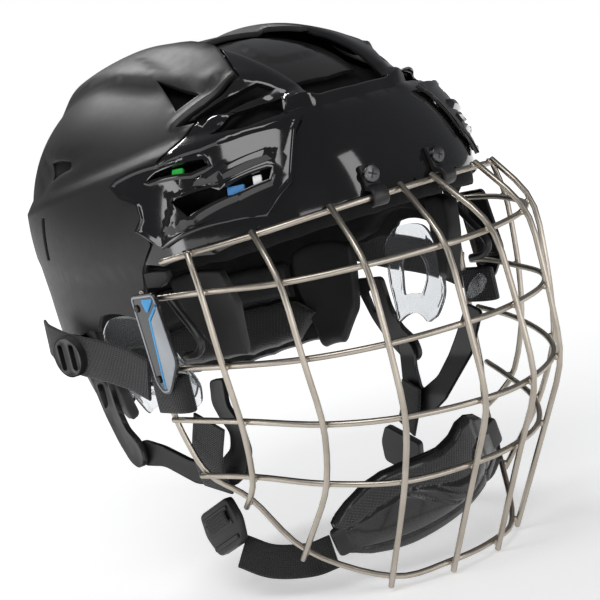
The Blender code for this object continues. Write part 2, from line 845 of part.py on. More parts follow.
def build_clips():
    top_wire = bar_path([upright_path(column) for column in range(4)], 0)
    at = 21.0
    ordered = top_wire[np.argsort(top_wire[:, 0])]
    wire_y = np.interp(at, ordered[:, 0], ordered[:, 1])
    wire_z = np.interp(at, ordered[:, 0], ordered[:, 2])
    slope = (np.interp(at + 5.0, ordered[:, 0], ordered[:, 1]) - wire_y) / 5.0
    for hand, name in ((-1.0, "right"), (1.0, "left")):
        point, normal = front_at(hand * at, 9.0)
        lean = math.atan2(hand * slope, 1.0)
        across = np.array([math.cos(lean), math.sin(lean), 0.0])
        out = np.array([across[1], -across[0], 0.0])
        wire = np.array([hand * at, wire_y, wire_z])
        back = (point - wire) @ out + 0.9
        turns = np.radians(np.linspace(75.0, -115.0, 11))
        outer = [(4.8 * math.cos(t), 4.8 * math.sin(t)) for t in turns]
        inner = [(2.8 * math.cos(t), 2.8 * math.sin(t)) for t in turns[::-1]]
        profile = [(back + 1.2, 15.0), (back + 3.6, 5.5)] + outer + inner
        profile += [(back + 1.1, 3.4), (back - 1.2, 15.0)]
        rings = []
        for end in (-4.0, 4.0):
            rings.append(np.array([wire + across * end + out * a + (0.0, 0.0, b) for a, b in profile]))
        add_mesh("j_clip_" + name, *swept(rings[::-1]), "matte")
        head = wire + out * (back + 3.4) + np.array([0.0, 0.0, 10.5])
        made = extruded(head, circle(4.2, 12), out, (0.0, 0.0, 1.0), 1.4, 0.5)
        add_mesh("j_clip_screw_" + name, *made, "steel")


def build_ears():
    guard = [
        side(13.0, -47.5),
        side(2.0, -39.5),
        side(-27.0, -39.5),
        side(-38.0, -52.0),
        side(-47.0, -78.0),
        side(-40.0, -89.0),
        side(-30.0, -93.0),
        side(3.0, -94.0),
        side(12.0, -72.0),
    ]
    ear = [side(-1.0, -58.0), side(-22.0, -56.0), side(-28.0, -66.0), side(-22.0, -78.0), side(-2.0, -79.0)]
    add_pair("ear_guard", *panel(guard, 11.0, -4.0, 2.2, [ear], shaped=False), "clear")
    loop = [(-94.5, -54.5, -27.5), (-94.5, -61.0, -35.0), (-94.5, -70.0, -44.0)]
    loop += [(-94.5, -76.0, -52.0), (-94.5, -70.0, -57.5), (-94.5, -59.0, -58.5)]
    add_pair("ear_loop", *rod(rounded(loop, 4.0, 2), 2.0, 6), "grey")


# ---------------------------------------------------------------- straps


def build_side_straps():
    band = [
        (-104.5, 56.0, -45.0),
        (-106.5, 46.0, -49.0),
        (-107.6, 26.0, -53.5),
        (-107.2, 2.0, -57.0),
        (-106.0, -20.0, -61.5),
        (-105.4, -38.0, -67.5),
    ]
    add_pair("side_strap", *ribbon(spline(band, 3), (0.0, 0.25, 1.0), STRAP_WIDTH, STRAP_WALL), "web")
    oval = [(26.0 + 14.0 * math.cos(t), -54.0 + 10.5 * math.sin(t)) for t in np.arange(16) * math.pi / 8]
    slots = []
    for centre in (20.0, 31.5):
        slots.append(
            [
                (centre - 2.2, -60.5),
                (centre + 2.2, -60.5),
                (centre + 2.2, -47.5),
                (centre - 2.2, -47.5),
            ]
        )
    add_pair("strap_slider", *flat_panel(oval, 9.0, at_x(-110.4), 2.8, slots), "matte")
    loop = [
        (-105.0, -41.0, -75.0),
        (-105.0, -58.0, -75.0),
        (-103.0, -65.0, -75.0),
        (-99.5, -65.0, -75.0),
        (-97.4, -58.0, -75.0),
        (-97.4, -46.0, -75.0),
    ]
    made = ribbon(rounded(loop, 3.0, 2), (0.0, 0.0, 1.0), 18.0, STRAP_WALL)
    add_pair("strap_loop", *made, "web", origin=CAGE_PIVOT)
    snap = [(-47.0, -80.0), (-53.0, -72.0), (-62.0, -67.0), (-66.5, -71.0), (-61.0, -78.0), (-51.0, -82.0)]
    add_pair("strap_snap", *plate(snap, -95.2, -96.5), "clear", origin=CAGE_PIVOT)


SLING_PIVOT = np.array([0.0, 9.0, -110.0])


def build_sling():
    bracket = [
        (44.0, -66.0),
        (35.0, -90.0),
        (26.0, -105.0),
        (17.0, -115.0),
        (8.0, -118.0),
        (2.0, -113.0),
        (4.0, -104.0),
        (14.0, -96.0),
        (19.0, -84.0),
        (21.0, -66.0),
    ]

    def bracket_place(flat):
        return np.column_stack([-95.0 + 0.10 * np.maximum(flat[:, 0] - 12.0, 0.0), flat])

    slot = [(27.0, -73.0), (36.0, -74.0), (33.0, -87.0), (27.0, -84.0)]
    add_pair("sling_bracket", *flat_panel(bracket, 9.0, bracket_place, 2.4, [slot]), "grey")

    right = [
        (15.0, -108.0),
        (6.0, -103.5),
        (-6.3, -107.8),
        (-22.1, -116.6),
        (-38.2, -118.3),
        (-52.2, -110.3),
        (-55.2, -102.3),
        (-50.2, -96.3),
        (-45.2, -87.3),
        (-48.2, -75.3),
        (-60.2, -74.3),
        (-58.2, -88.3),
        (-66.2, -97.3),
        (-68.2, -111.3),
        (-60.2, -123.3),
        (-46.2, -130.3),
        (-22.1, -128.6),
        (-4.6, -118.2),
        (9.0, -117.0),
    ]

    def right_place(flat):
        return np.column_stack([np.interp(flat[:, 0], [-38.0, 6.0], [-77.5, -92.0]), flat])

    left = [
        (17.0, -106.0),
        (12.0, -102.0),
        (4.0, -106.0),
        (3.0, -120.0),
        (-1.0, -132.0),
        (-16.0, -124.0),
        (-36.0, -101.0),
        (-50.0, -83.0),
        (-61.0, -88.0),
        (-45.0, -112.0),
        (-21.0, -137.0),
        (-4.0, -147.0),
        (11.0, -145.0),
        (15.0, -132.0),
        (16.0, -118.0),
    ]

    def left_place(flat):
        return np.column_stack([np.interp(flat[:, 1], [-135.0, -112.0], [87.0, 92.0]), flat])

    add_mesh("sling_right", *flat_panel(right, 10.0, right_place, 2.0), "matte", origin=SLING_PIVOT)
    add_mesh("sling_left", *flat_panel(left, 10.0, left_place, 2.0), "matte", origin=SLING_PIVOT)

    upper_right = [(-92.0, -60.5, -92.0), (-88.6, -46.0, -111.0), (-84.5, -40.0, -124.0), (-81.5, -37.0, -131.0)]
    upper_left = [(84.6, 4.0, -128.0), (84.0, 8.0, -140.0), (83.0, 15.0, -154.0)]
    wide = (-0.25, 1.0, 0.28)
    add_mesh(
        "chin_strap_upper_right",
        *ribbon(spline(upper_right, 3), wide, 19.0, STRAP_WALL),
        "web",
        origin=SLING_PIVOT,
    )
    add_mesh(
        "chin_strap_upper_left",
        *ribbon(spline(upper_left, 3), (0.1, 1.0, -0.4), 19.0, STRAP_WALL),
        "web",
        origin=SLING_PIVOT,
    )
    buckle = [(-13.0, 12.0), (13.0, 12.0), (15.0, 0.0), (11.0, -12.0), (-11.0, -12.0), (-15.0, 0.0)]
    place_right = (np.array([-76.5, -29.0, -153.0]), (-1.0, -0.1, 0.1), (0.0, 0.45, 1.0))
    place_left = (np.array([80.5, 23.0, -168.0]), (1.0, 0.1, 0.1), (0.0, -0.5, 1.0))
    for name, (centre, forward, upward) in (("right", place_right), ("left", place_left)):
        made = extruded(centre, buckle, forward, upward, 6.0, 1.2)
        add_mesh("chin_buckle_" + name, *made, "matte", origin=SLING_PIVOT)
    lower_right = [(-76.0, -36.0, -166.0), (-70.0, -52.0, -172.0), (-60.0, -70.0, -173.0), (-52.0, -80.0, -170.5)]
    lower_left = [(77.6, 16.0, -181.0), (76.0, -16.0, -184.0), (67.0, -64.0, -168.0), (55.0, -93.0, -150.0)]
    for name, path in (("right", lower_right), ("left", lower_left)):
        made = ribbon(spline(path, 3), (0.35, 0.2, 1.0), 17.0, STRAP_WALL)
        add_mesh("chin_strap_lower_" + name, *made, "web", origin=SLING_PIVOT)


CUP_ALONG = (-1.0, -0.8, -0.6, -0.4, -0.2, 0.0, 0.25, 0.45, 0.6, 0.75, 0.9, 1.0)
CUP_TOP = (15.0, 24.0, 30.0, 32.0, 31.0, 28.5, 24.5, 24.0, 26.0, 24.0, 18.0, 10.0)
CUP_BASE = (-3.0, -9.0, -12.0, -13.5, -14.0, -14.5, -15.5, -16.0, -16.0, -15.0, -12.0, -8.0)


def build_chin_cup():
    centre = np.array([0.0, -88.0, -156.0])
    along = np.array([90.0, -19.0, 28.0])
    along = along / np.linalg.norm(along)
    out = np.array([0.0, -1.0, -0.25])
    out = out - along * (out @ along)
    out = out / np.linalg.norm(out)
    up = np.cross(out, along)
    up = up if up[2] > 0 else -up
    columns, rows = 19, 7

    def skin(stand):
        points = []
        for u in np.linspace(-1.0, 1.0, columns):
            high, low = np.interp(u, CUP_ALONG, CUP_TOP), np.interp(u, CUP_ALONG, CUP_BASE)
            for v in np.linspace(-1.0, 1.0, rows):
                height = low + (high - low) * (v + 1.0) / 2
                reach = 15.0 * math.cos(0.5 * math.pi * u) + 4.5 * (1.0 - v * v) * (1.0 - u * u)
                points.append(centre + along * 49.0 * u + out * (reach + stand) + up * height)
        return np.array(points)

    triangles = []
    for i in range(columns - 1):
        for j in range(rows - 1):
            a, b = i * rows + j, (i + 1) * rows + j
            triangles += [(a, b, b + 1), (a, b + 1, a + 1)]
    triangles = np.array(triangles)
    if np.cross(along, up) @ out < 0:
        triangles = triangles[:, ::-1]
    cup = skinned(skin(4.0), skin(0.0), triangles)
    pad = skinned(skin(-0.4), skin(-5.5), triangles)
    add_mesh("chin_cup", *cup, "matte", origin=SLING_PIVOT)
    add_mesh("chin_cup_pad", *pad, "pad", origin=SLING_PIVOT, smooth_angle=60.0)


def clear_scene():
    for old in list(bpy.data.objects):
        bpy.data.objects.remove(old, do_unlink=True)


clear_scene()
build_shells()
build_liners()
build_crown_pad()
build_clips()
build_ears()
build_cage()
build_side_straps()
build_sling()
build_chin_cup()
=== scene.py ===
import math

import bpy
import numpy as np
from mathutils import Matrix, Vector
from mathutils.geometry import delaunay_2d_cdt


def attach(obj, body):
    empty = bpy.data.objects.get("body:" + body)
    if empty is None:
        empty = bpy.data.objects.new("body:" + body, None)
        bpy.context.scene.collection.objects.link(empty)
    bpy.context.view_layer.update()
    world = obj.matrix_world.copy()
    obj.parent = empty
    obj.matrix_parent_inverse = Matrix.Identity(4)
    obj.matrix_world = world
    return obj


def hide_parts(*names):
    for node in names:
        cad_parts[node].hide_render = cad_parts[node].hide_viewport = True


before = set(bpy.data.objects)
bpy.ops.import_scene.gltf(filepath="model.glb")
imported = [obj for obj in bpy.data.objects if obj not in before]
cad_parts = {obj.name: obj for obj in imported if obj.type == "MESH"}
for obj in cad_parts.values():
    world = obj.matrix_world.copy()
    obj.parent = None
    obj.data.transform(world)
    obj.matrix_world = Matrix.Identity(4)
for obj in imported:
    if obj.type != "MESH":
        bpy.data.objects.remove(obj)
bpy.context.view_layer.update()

MM = 0.001

# Driving sizes of the helmet, in millimetres, as in the CAD model
HALF_WIDTH = 103.0
FRONT_LENGTH = 134.0
REAR_LENGTH = 135.0
CROWN_HEIGHT = 99.0
SKIRT_DEPTH = 150.0
DOME_CENTRE = np.array([0.0, -1.0, -12.0])
SHELL_WALL = 2.6
BEZEL_WALL = 2.4
FIT_GAP = 0.35
LINING_GAP = 0.9
BELT_STEP = 3.2
RIDGE_RISE = 5.0
INSERT_DROP = 3.2
WIRE_RADIUS = 1.5
WELD_GAP = 0.3
CAGE_SIDE = 104.5
FLAT_SCALE = 100.0


# ---------------------------------------------------------------- materials


class Look:
    """A Principled material with helpers for its node tree."""

    def __init__(self, name, colour, roughness, metallic=0.0, **plain):
        self.material = bpy.data.materials.new(name)
        self.material.use_nodes = True
        self.tree = self.material.node_tree
        self.shader = self.tree.nodes["Principled BSDF"]
        self.shader.inputs["Base Color"].default_value = (*colour, 1.0)
        self.shader.inputs["Roughness"].default_value = roughness
        self.shader.inputs["Metallic"].default_value = metallic
        for key, value in plain.items():
            self.shader.inputs[key.replace("_", " ")].default_value = value
        self.height = None

    def node(self, kind, **settings):
        made = self.tree.nodes.new(kind)
        for key, value in settings.items():
            if key in made.inputs:
                made.inputs[key].default_value = value
            else:
                setattr(made, key, value)
        return made

    def join(self, source, target):
        self.tree.links.new(source, target)

    def place(self, scale=(1000.0, 1000.0, 1000.0), uv=False, turn=(0.0, 0.0, 0.0)):
        """Coordinates in millimetres, from the object or from its UV map."""
        source = self.node("ShaderNodeTexCoord").outputs["UV" if uv else "Object"]
        mapping = self.node("ShaderNodeMapping")
        mapping.inputs["Scale"].default_value = scale
        mapping.inputs["Rotation"].default_value = turn
        self.join(source, mapping.inputs["Vector"])
        return mapping.outputs["Vector"]

    def noise(self, per_mm, detail=3.0, at=None, **more):
        made = self.node("ShaderNodeTexNoise", Scale=per_mm, Detail=detail, **more)
        self.join(at or self.place(), made.inputs["Vector"])
        return made.outputs["Fac"]

    def cells(self, per_mm, at=None, feature="F1", output="Distance"):
        made = self.node("ShaderNodeTexVoronoi", Scale=per_mm, feature=feature)
        self.join(at or self.place(), made.inputs["Vector"])
        return made.outputs[output]

    def ramp(self, fac, low, high, start=(0, 0, 0), end=(1, 1, 1)):
        made = self.node("ShaderNodeValToRGB")
        made.color_ramp.elements[0].position = low
        made.color_ramp.elements[1].position = high
        made.color_ramp.elements[0].color = (*start, 1.0)
        made.color_ramp.elements[1].color = (*end, 1.0)
        self.join(fac, made.inputs["Fac"])
        return made.outputs["Color"]

    def maths(self, operation, a, b=0.0):
        made = self.node("ShaderNodeMath", operation=operation)
        for socket, value in zip(made.inputs, (a, b)):
            if isinstance(value, (int, float)):
                socket.default_value = value
            else:
                self.join(value, socket)
        return made.outputs["Value"]

    def colour(self, fac, low, high, start, end):
        self.join(self.ramp(fac, low, high, start, end), self.shader.inputs["Base Color"])
        return self

    def roughness(self, fac, low, high):
        made = self.node("ShaderNodeMapRange")
        made.inputs["To Min"].default_value = low
        made.inputs["To Max"].default_value = high
        self.join(fac, made.inputs["Value"])
        self.join(made.outputs["Result"], self.shader.inputs["Roughness"])
        return self

    def bump(self, height, strength, depth_mm):
        """Adds a bump on top of those already there."""
        made = self.node("ShaderNodeBump")
        made.inputs["Strength"].default_value = strength
        made.inputs["Distance"].default_value = depth_mm * MM
        self.join(height, made.inputs["Height"])
        if self.height is not None:
            self.join(self.height, made.inputs["Normal"])
        self.height = made.outputs["Normal"]
        self.join(self.height, self.shader.inputs["Normal"])
        return self


def moulded(name, base, roughness, grain=0.15, coat=0.0, variation=0.06):
    """Moulded plastic: slight tone and gloss variation, fine grain and faint wear."""
    look = Look(name, base, roughness, Coat_Weight=coat, Coat_Roughness=0.05)
    patch = look.noise(0.03, 4.0)
    lighter = tuple(min(1.0, c * 1.5 + 0.002) for c in base)
    look.colour(patch, 0.35, 0.7, base, lighter)
    scuff = look.noise(0.25, 6.0)
    look.roughness(scuff, max(0.03, roughness - variation), roughness + variation)
    look.bump(look.noise(2.6, 2.0), grain, 0.05)
    look.bump(look.noise(0.09, 2.0), 0.12, 0.10)
    return look.material


def webbing_look():
    """Woven nylon: two crossing sets of yarns, a little sheen, on UV in millimetres."""
    look = Look(
        "nylon_webbing", (0.010, 0.010, 0.011), 0.8, Sheen_Weight=0.25, Sheen_Roughness=0.4
    )
    at = look.place((1.0, 1.0, 1.0), uv=True)
    parts = look.node("ShaderNodeSeparateXYZ")
    look.join(at, parts.inputs["Vector"])
    across, along = parts.outputs["X"], parts.outputs["Y"]
    rib = look.maths("SINE", look.maths("MULTIPLY", along, 2 * math.pi / 1.3))
    shift = look.maths("MULTIPLY", rib, 0.8)
    yarn = look.maths(
        "SINE", look.maths("ADD", look.maths("MULTIPLY", across, 2 * math.pi / 1.1), shift)
    )
    height = look.maths("ADD", look.maths("MULTIPLY", rib, 0.5), look.maths("MULTIPLY", yarn, 0.5))
    look.bump(height, 0.9, 0.22)
    fuzz = look.noise(1.5, 4.0)
    look.bump(fuzz, 0.3, 0.08)
    # The colour follows the weave: darker in the hollows between the yarns, as painted shade, and otherwise
    # varied at random by the fuzz.
    tone = look.maths("ADD", look.maths("MULTIPLY", height, 0.22), fuzz)
    look.colour(tone, 0.25, 0.9, (0.005, 0.005, 0.006), (0.024, 0.024, 0.026))
    look.roughness(fuzz, 0.7, 0.95)
    return look.material


def wire_look():
    """Brushed champagne-plated steel."""
    look = Look("plated_wire", (0.60, 0.55, 0.48), 0.3, 1.0)
    patch = look.noise(0.05, 5.0)
    look.colour(patch, 0.3, 0.75, (0.40, 0.355, 0.30), (0.56, 0.51, 0.44))
    look.roughness(look.noise(0.8, 5.0), 0.22, 0.42)
    look.bump(look.noise(3.0, 3.0), 0.12, 0.03)
    return look.material


def foam_look(name, base, pore=0.55):
    """Closed-cell foam with its skin of fine beads."""
    look = Look(name, base, 0.85, Specular_IOR_Level=0.25)
    bead = look.cells(pore)
    look.colour(look.noise(0.08, 4.0), 0.3, 0.7, base, tuple(c * 1.8 + 0.003 for c in base))
    look.bump(bead, 0.35, 0.25)
    look.roughness(look.noise(0.5, 4.0), 0.75, 0.95)
    return look.material


def leather_look(name, base):
    """Grained leatherette."""
    look = Look(name, base, 0.5, Sheen_Weight=0.1, Specular_IOR_Level=0.45)
    grain = look.cells(0.85, feature="DISTANCE_TO_EDGE")
    look.colour(look.noise(0.06, 4.0), 0.3, 0.7, base, tuple(c * 1.6 + 0.003 for c in base))
    look.bump(look.ramp(grain, 0.0, 0.22), 0.5, 0.18)
    look.bump(look.noise(0.35, 3.0), 0.3, 0.35)
    look.roughness(grain, 0.62, 0.42)
    return look.material


def perforated_look(name, base, pitch=2.2):
    """Spacer mesh: a regular grid of small round holes in a soft knit."""
    look = Look(name, base, 0.75, Sheen_Weight=0.3, Sheen_Roughness=0.5)
    at = look.place(turn=(0.0, 0.5, 0.35))
    parts = look.node("ShaderNodeSeparateXYZ")
    look.join(at, parts.inputs["Vector"])
    turn = 2 * math.pi / pitch
    first = look.maths("SINE", look.maths("MULTIPLY", parts.outputs["X"], turn))
    second = look.maths("SINE", look.maths("MULTIPLY", parts.outputs["Z"], turn))
    knit = look.maths("MULTIPLY", first, second)
    # The holes are drawn darker than the knit: painted shade inside the holes, which are only a bump and
    # have no depth of their own.
    hole = look.ramp(knit, 0.25, 0.6)
    dark = tuple(c * 0.25 for c in base)
    tone = look.node("ShaderNodeRGBToBW")
    look.join(hole, tone.inputs["Color"])
    look.colour(tone.outputs["Val"], 0.1, 0.9, base, dark)
    depth = look.maths("SUBTRACT", 1.0, tone.outputs["Val"])
    look.bump(depth, 0.8, 0.5)
    look.bump(look.noise(1.8, 3.0), 0.3, 0.12)
    return look.material


def clear_look():
    """Clear moulded polycarbonate, faintly smoky."""
    look = Look(
        "clear_polycarbonate", (0.86, 0.88, 0.90), 0.06, IOR=1.45, Transmission_Weight=0.94
    )
    look.bump(look.noise(0.12, 2.0), 0.2, 0.15)
    look.roughness(look.noise(0.4, 4.0), 0.03, 0.12)
    return look.material


LOOKS = {
    "matte": moulded("shell_satin", (0.0105, 0.0098, 0.0092), 0.47, 0.20),
    "gloss": moulded(
        "shell_gloss", (0.0040, 0.0040, 0.0042), 0.09, 0.03, coat=0.6, variation=0.03
    ),
    "crown": moulded("crown_gloss", (0.0130, 0.0125, 0.0120), 0.20, 0.06, coat=0.3),
    "plastic": moulded("black_nylon", (0.0100, 0.0100, 0.0104), 0.38, 0.30),
    "grey": moulded("grey_nylon", (0.0190, 0.0187, 0.0182), 0.46, 0.35),
    "cup": moulded("cup_moulding", (0.0115, 0.0113, 0.0115), 0.27, 0.10, coat=0.15),
    "rubber": moulded("soft_rubber", (0.0125, 0.0125, 0.0130), 0.58, 0.45),
    "foam": foam_look("liner_foam", (0.0032, 0.0032, 0.0034)),
    "flap": moulded("foam_skin", (0.0115, 0.0112, 0.0115), 0.60, 0.5),
    "leather": leather_look("leatherette", (0.0110, 0.0110, 0.0115)),
    "mesh": perforated_look("perforated_mesh", (0.0220, 0.0212, 0.0210)),
    "clear": clear_look(),
    "wire": wire_look(),
    "steel": moulded("screw_steel", (0.075, 0.075, 0.078), 0.26, 0.1),
    "web": webbing_look(),
    "label_black": moulded("badge_black", (0.0065, 0.0065, 0.0070), 0.16, 0.03, coat=0.5),
    "label_silver": moulded("badge_silver", (0.30, 0.32, 0.34), 0.34, 0.05),
    "label_blue": moulded("badge_blue", (0.020, 0.260, 0.560), 0.30, 0.05),
    "green": moulded("inlay_green", (0.02, 0.42, 0.05), 0.35, 0.05),
    "blue": moulded("inlay_blue", (0.03, 0.16, 0.38), 0.35, 0.05),
    "white": moulded("inlay_white", (0.78, 0.78, 0.80), 0.40, 0.05),
}
LOOKS["steel"].node_tree.nodes["Principled BSDF"].inputs["Metallic"].default_value = 1.0


# ---------------------------------------------------------------- making pieces


def facing_out(points, faces):
    """The faces, turned over if they point into the solid."""
    volume = 0.0
    for face in faces:
        for k in range(1, len(face) - 1):
            a, b, c = points[face[0]], points[face[k]], points[face[k + 1]]
            volume += a @ np.cross(b, c)
    return faces if volume > 0 else [face[::-1] for face in faces]


def make(
    name, points, faces, look, body, stands_for=(), bevel=0.0, smooth=38.0, uv=None, pad=None
):
    """A piece in millimetres that rides on a body and stands for CAD nodes."""
    points = np.asarray(points, float)
    faces = facing_out(points, [tuple(face) for face in faces]) if uv is None else faces
    mesh = bpy.data.meshes.new(name)
    mesh.from_pydata((points * MM).tolist(), [], faces)
    if uv is not None:
        layer = mesh.uv_layers.new(name="UVMap")
        layer.data.foreach_set("uv", np.asarray(uv, float).ravel())
    mesh.materials.append(LOOKS[look])
    mesh.shade_smooth()
    mesh.set_sharp_from_angle(angle=math.radians(smooth))
    made = bpy.data.objects.new(name, mesh)
    bpy.context.scene.collection.objects.link(made)
    if bevel:
        rounded_edges(made, bevel)
    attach(made, body)
    if stands_for:
        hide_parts(*([stands_for] if isinstance(stands_for, str) else stands_for))
    return made


def rounded_edges(made, width, angle=40.0, segments=2):
    bevel = made.modifiers.new("rounded_edges", "BEVEL")
    bevel.width = width * MM
    bevel.segments = segments
    bevel.limit_method = "ANGLE"
    bevel.angle_limit = math.radians(angle)
    bevel.harden_normals = False


def mirrored(points, faces):
    return np.asarray(points) * np.array([-1.0, 1.0, 1.0]), [tuple(face[::-1]) for face in faces]


def make_pair(name, points, faces, look, body, stands_for=None, **more):
    """The solid given is on the wearer's right; its mirror image goes on the left."""
    for hand, solid in (("right", (points, faces)), ("left", mirrored(points, faces))):
        node = (stands_for + "_" + hand,) if stands_for else ()
        make(name + "_" + hand, *solid, look, body, node, **more)


def smoothstep(start, end, value):
    t = np.clip((value - start) / (end - start), 0.0, 1.0)
    return t * t * (3.0 - 2.0 * t)


# ---------------------------------------------------------------- dome


def dome_level(points):
    """1 on the outer dome, less inside it."""
    x, y, z = np.moveaxis(np.asarray(points, float) - DOME_CENTRE, -1, 0)
    front = 1.0 / (1.0 + np.exp(np.clip(y / 12.0, -50.0, 50.0)))
    plan = 2.15 + 0.10 * front
    side = 2.50 - 0.55 * front
    length = np.where(y < 0, FRONT_LENGTH, REAR_LENGTH)
    height = np.where(z > 0, CROWN_HEIGHT, SKIRT_DEPTH)
    around = np.abs(x / HALF_WIDTH) ** plan + np.abs(y / length) ** plan
    return around ** (side / plan) + np.abs(z / height) ** side


def on_dome(directions):
    """The dome's points in these directions from its centre."""
    low = np.zeros(len(directions))
    high = np.full(len(directions), 400.0)
    for _ in range(40):
        middle = (low + high) / 2
        inside = dome_level(DOME_CENTRE + directions * middle[:, None]) < 1.0
        low = np.where(inside, middle, low)
        high = np.where(inside, high, middle)
    return DOME_CENTRE + directions * low[:, None]


def dome_normals(points):
    slope = []
    for axis in range(3):
        step = np.zeros(3)
        step[axis] = 0.01
        slope.append(dome_level(points + step) - dome_level(points - step))
    normals = np.stack(slope, axis=-1)
    return normals / np.linalg.norm(normals, axis=1, keepdims=True)


def lift(flat):
    """Flat plan coordinates to the dome."""
    flat = np.asarray(flat, float)
    polar = np.hypot(flat[:, 0], flat[:, 1]) / FLAT_SCALE
    around = np.arctan2(flat[:, 0], -flat[:, 1])
    directions = np.stack(
        [
            np.sin(polar) * np.sin(around),
            -np.sin(polar) * np.cos(around),
            np.cos(polar),
        ],
        axis=1,
    )
    return on_dome(directions)


def flatten(point):
    """A point on the dome to flat plan coordinates."""
    x, y, z = np.asarray(point, float) - DOME_CENTRE
    polar = math.atan2(math.hypot(x, y), z)
    around = math.atan2(x, -y)
    return (
        FLAT_SCALE * polar * math.sin(around),
        -FLAT_SCALE * polar * math.cos(around),
    )


def solve(make_point):
    """The parameter, from 0 to 1, at which make_point crosses the dome."""
    low, high = 0.0, 1.0
    for _ in range(40):
        middle = (low + high) / 2
        if dome_level(make_point(middle)) < 1.0:
            low = middle
        else:
            high = middle
    return make_point(low)


def top(x, y):
    """The dome point above this place in plan, flattened."""
    return flatten(solve(lambda t: np.array([x, y, -12.0 + 130.0 * t])))


def side(y, z, hand=-1.0):
    """The dome point beside this place in side view, flattened."""
    return flatten(solve(lambda t: np.array([hand * 130.0 * t, y, z])))


def around(degrees, z):
    """The dome point at this height and bearing, from 0 at the front to 90 on the right, flattened."""
    turn = math.radians(degrees)
    out = np.array([-math.sin(turn), -math.cos(turn), 0.0])
    start = np.array([0.0, DOME_CENTRE[1], z])
    return flatten(solve(lambda t: start + out * 180.0 * t))


def ahead(x, z):
    """The dome point in front of this place in front view, flattened."""
    return flatten(solve(lambda t: np.array([x, -180.0 * t, z])))


def skirt(*stops):
    """Dome points along a lower edge, through these (bearing, height) stops, flattened."""
    bearings, heights = zip(*stops)
    parts = math.ceil((bearings[-1] - bearings[0]) / 9.0)
    evenly = np.linspace(bearings[0], bearings[-1], parts + 1)
    return [around(bearing, np.interp(bearing, bearings, heights)) for bearing in evenly]


def both_sides(half):
    """A closed outline from the half of it on the right, which runs between the mid-plane's ends."""
    other = [(-u, v) for u, v in reversed(half) if abs(u) > 1e-6]
    return list(half) + other


BELT_Y = (-119.0, -95.0, -62.0, -37.0, 0.0, 35.0, 60.0, 90.0, 140.0)
BELT_Z = (46.5, 45.0, 42.0, 38.0, 33.5, 30.0, 27.0, 24.0, 22.0)
RIDGE_Y = (-112.0, -93.0, -75.0, -55.0, -22.0, 0.0, 60.0, 100.0)
RIDGE_INNER = (22.0, 24.0, 26.0, 27.0, 23.0, 24.0, 28.0, 34.0)
RIDGE_OUTER = (27.0, 33.0, 42.0, 50.0, 55.0, 56.0, 52.0, 44.0)


def relief(points):
    """How far the shell's styling stands off the plain dome."""
    x, y, z = np.abs(points[:, 0]), points[:, 1], points[:, 2]
    drop = np.interp(y, BELT_Y, BELT_Z) - z
    belt = BELT_STEP * np.clip(drop / 7.0, 0.0, 1.0)
    belt = belt * (1.0 - np.clip((drop - 7.0) / 45.0, 0.0, 1.0))
    inner = np.interp(y, RIDGE_Y, RIDGE_INNER)
    outer = np.interp(y, RIDGE_Y, RIDGE_OUTER)
    ridge = smoothstep(inner - 4.0, inner + 3.0, x)
    ridge = ridge * (1.0 - smoothstep(outer - 3.0, outer + 8.0, x))
    ridge = ridge * smoothstep(-114.0, -100.0, y) * (1.0 - smoothstep(50.0, 105.0, y))
    return belt + RIDGE_RISE * ridge


def inside_loop(points, loop):
    points = np.asarray(points, float)
    loop = np.asarray(loop, float)
    found = np.zeros(len(points), bool)
    for start, end in zip(loop, np.roll(loop, -1, axis=0)):
        crosses = (start[1] > points[:, 1]) != (end[1] > points[:, 1])
        rise = end[1] - start[1] if end[1] != start[1] else 1e-9
        at = start[0] + (points[:, 1] - start[1]) * (end[0] - start[0]) / rise
        found ^= crosses & (points[:, 0] < at)
    return found


def densified(loop, step):
    dense = []
    for start, end in zip(loop, loop[1:] + loop[:1]):
        start, end = np.array(start), np.array(end)
        parts = max(1, math.ceil(np.linalg.norm(end - start) / step))
        dense += [start + (end - start) * k / parts for k in range(parts)]
    return np.array(dense)


def skinned(outside, within, triangles):
    """A closed solid between two matching skins."""
    count = len(outside)
    edges = {}
    for a, b, c in triangles.tolist():
        for edge in ((a, b), (b, c), (c, a)):
            edges[edge] = True
    rim = [edge for edge in edges if (edge[1], edge[0]) not in edges]
    faces = [tuple(face) for face in triangles.tolist()]
    faces += [(c + count, b + count, a + count) for a, b, c in triangles.tolist()]
    faces += [(b, a, a + count, b + count) for a, b in rim]
    return np.concatenate([outside, within]), faces


def spline(points, parts):
    """A smooth curve through the points."""
    points = np.asarray(points, float)
    ends = np.concatenate([[2 * points[0] - points[1]], points, [2 * points[-1] - points[-2]]])
    curve = []
    for k in range(1, len(ends) - 2):
        a, b, c, d = ends[k - 1 : k + 3]
        for t in np.arange(parts) / parts:
            curve.append(
                0.5
                * (
                    2 * b
                    + (c - a) * t
                    + (2 * a - 5 * b + 4 * c - d) * t**2
                    + (3 * b - a - 3 * c + d) * t**3
                )
            )
    return np.array(curve + [points[-1]])


def rounded(points, reach, parts=3):
    """A polyline with its corners rounded; reach is how far from the corner the bend begins."""
    points = np.asarray(points, float)
    path = [points[0]]
    for before, corner, after in zip(points, points[1:], points[2:]):
        into, away = before - corner, after - corner
        near = min(reach, 0.45 * np.linalg.norm(into))
        far = min(reach, 0.45 * np.linalg.norm(away))
        start = corner + into / np.linalg.norm(into) * near
        end = corner + away / np.linalg.norm(away) * far
        for t in np.arange(parts + 1) / parts:
            path.append((1 - t) ** 2 * start + 2 * t * (1 - t) * corner + t**2 * end)
    path.append(points[-1])
    return np.array(path)


def tangents(path):
    run = np.gradient(path, axis=0)
    return run / np.linalg.norm(run, axis=1, keepdims=True)


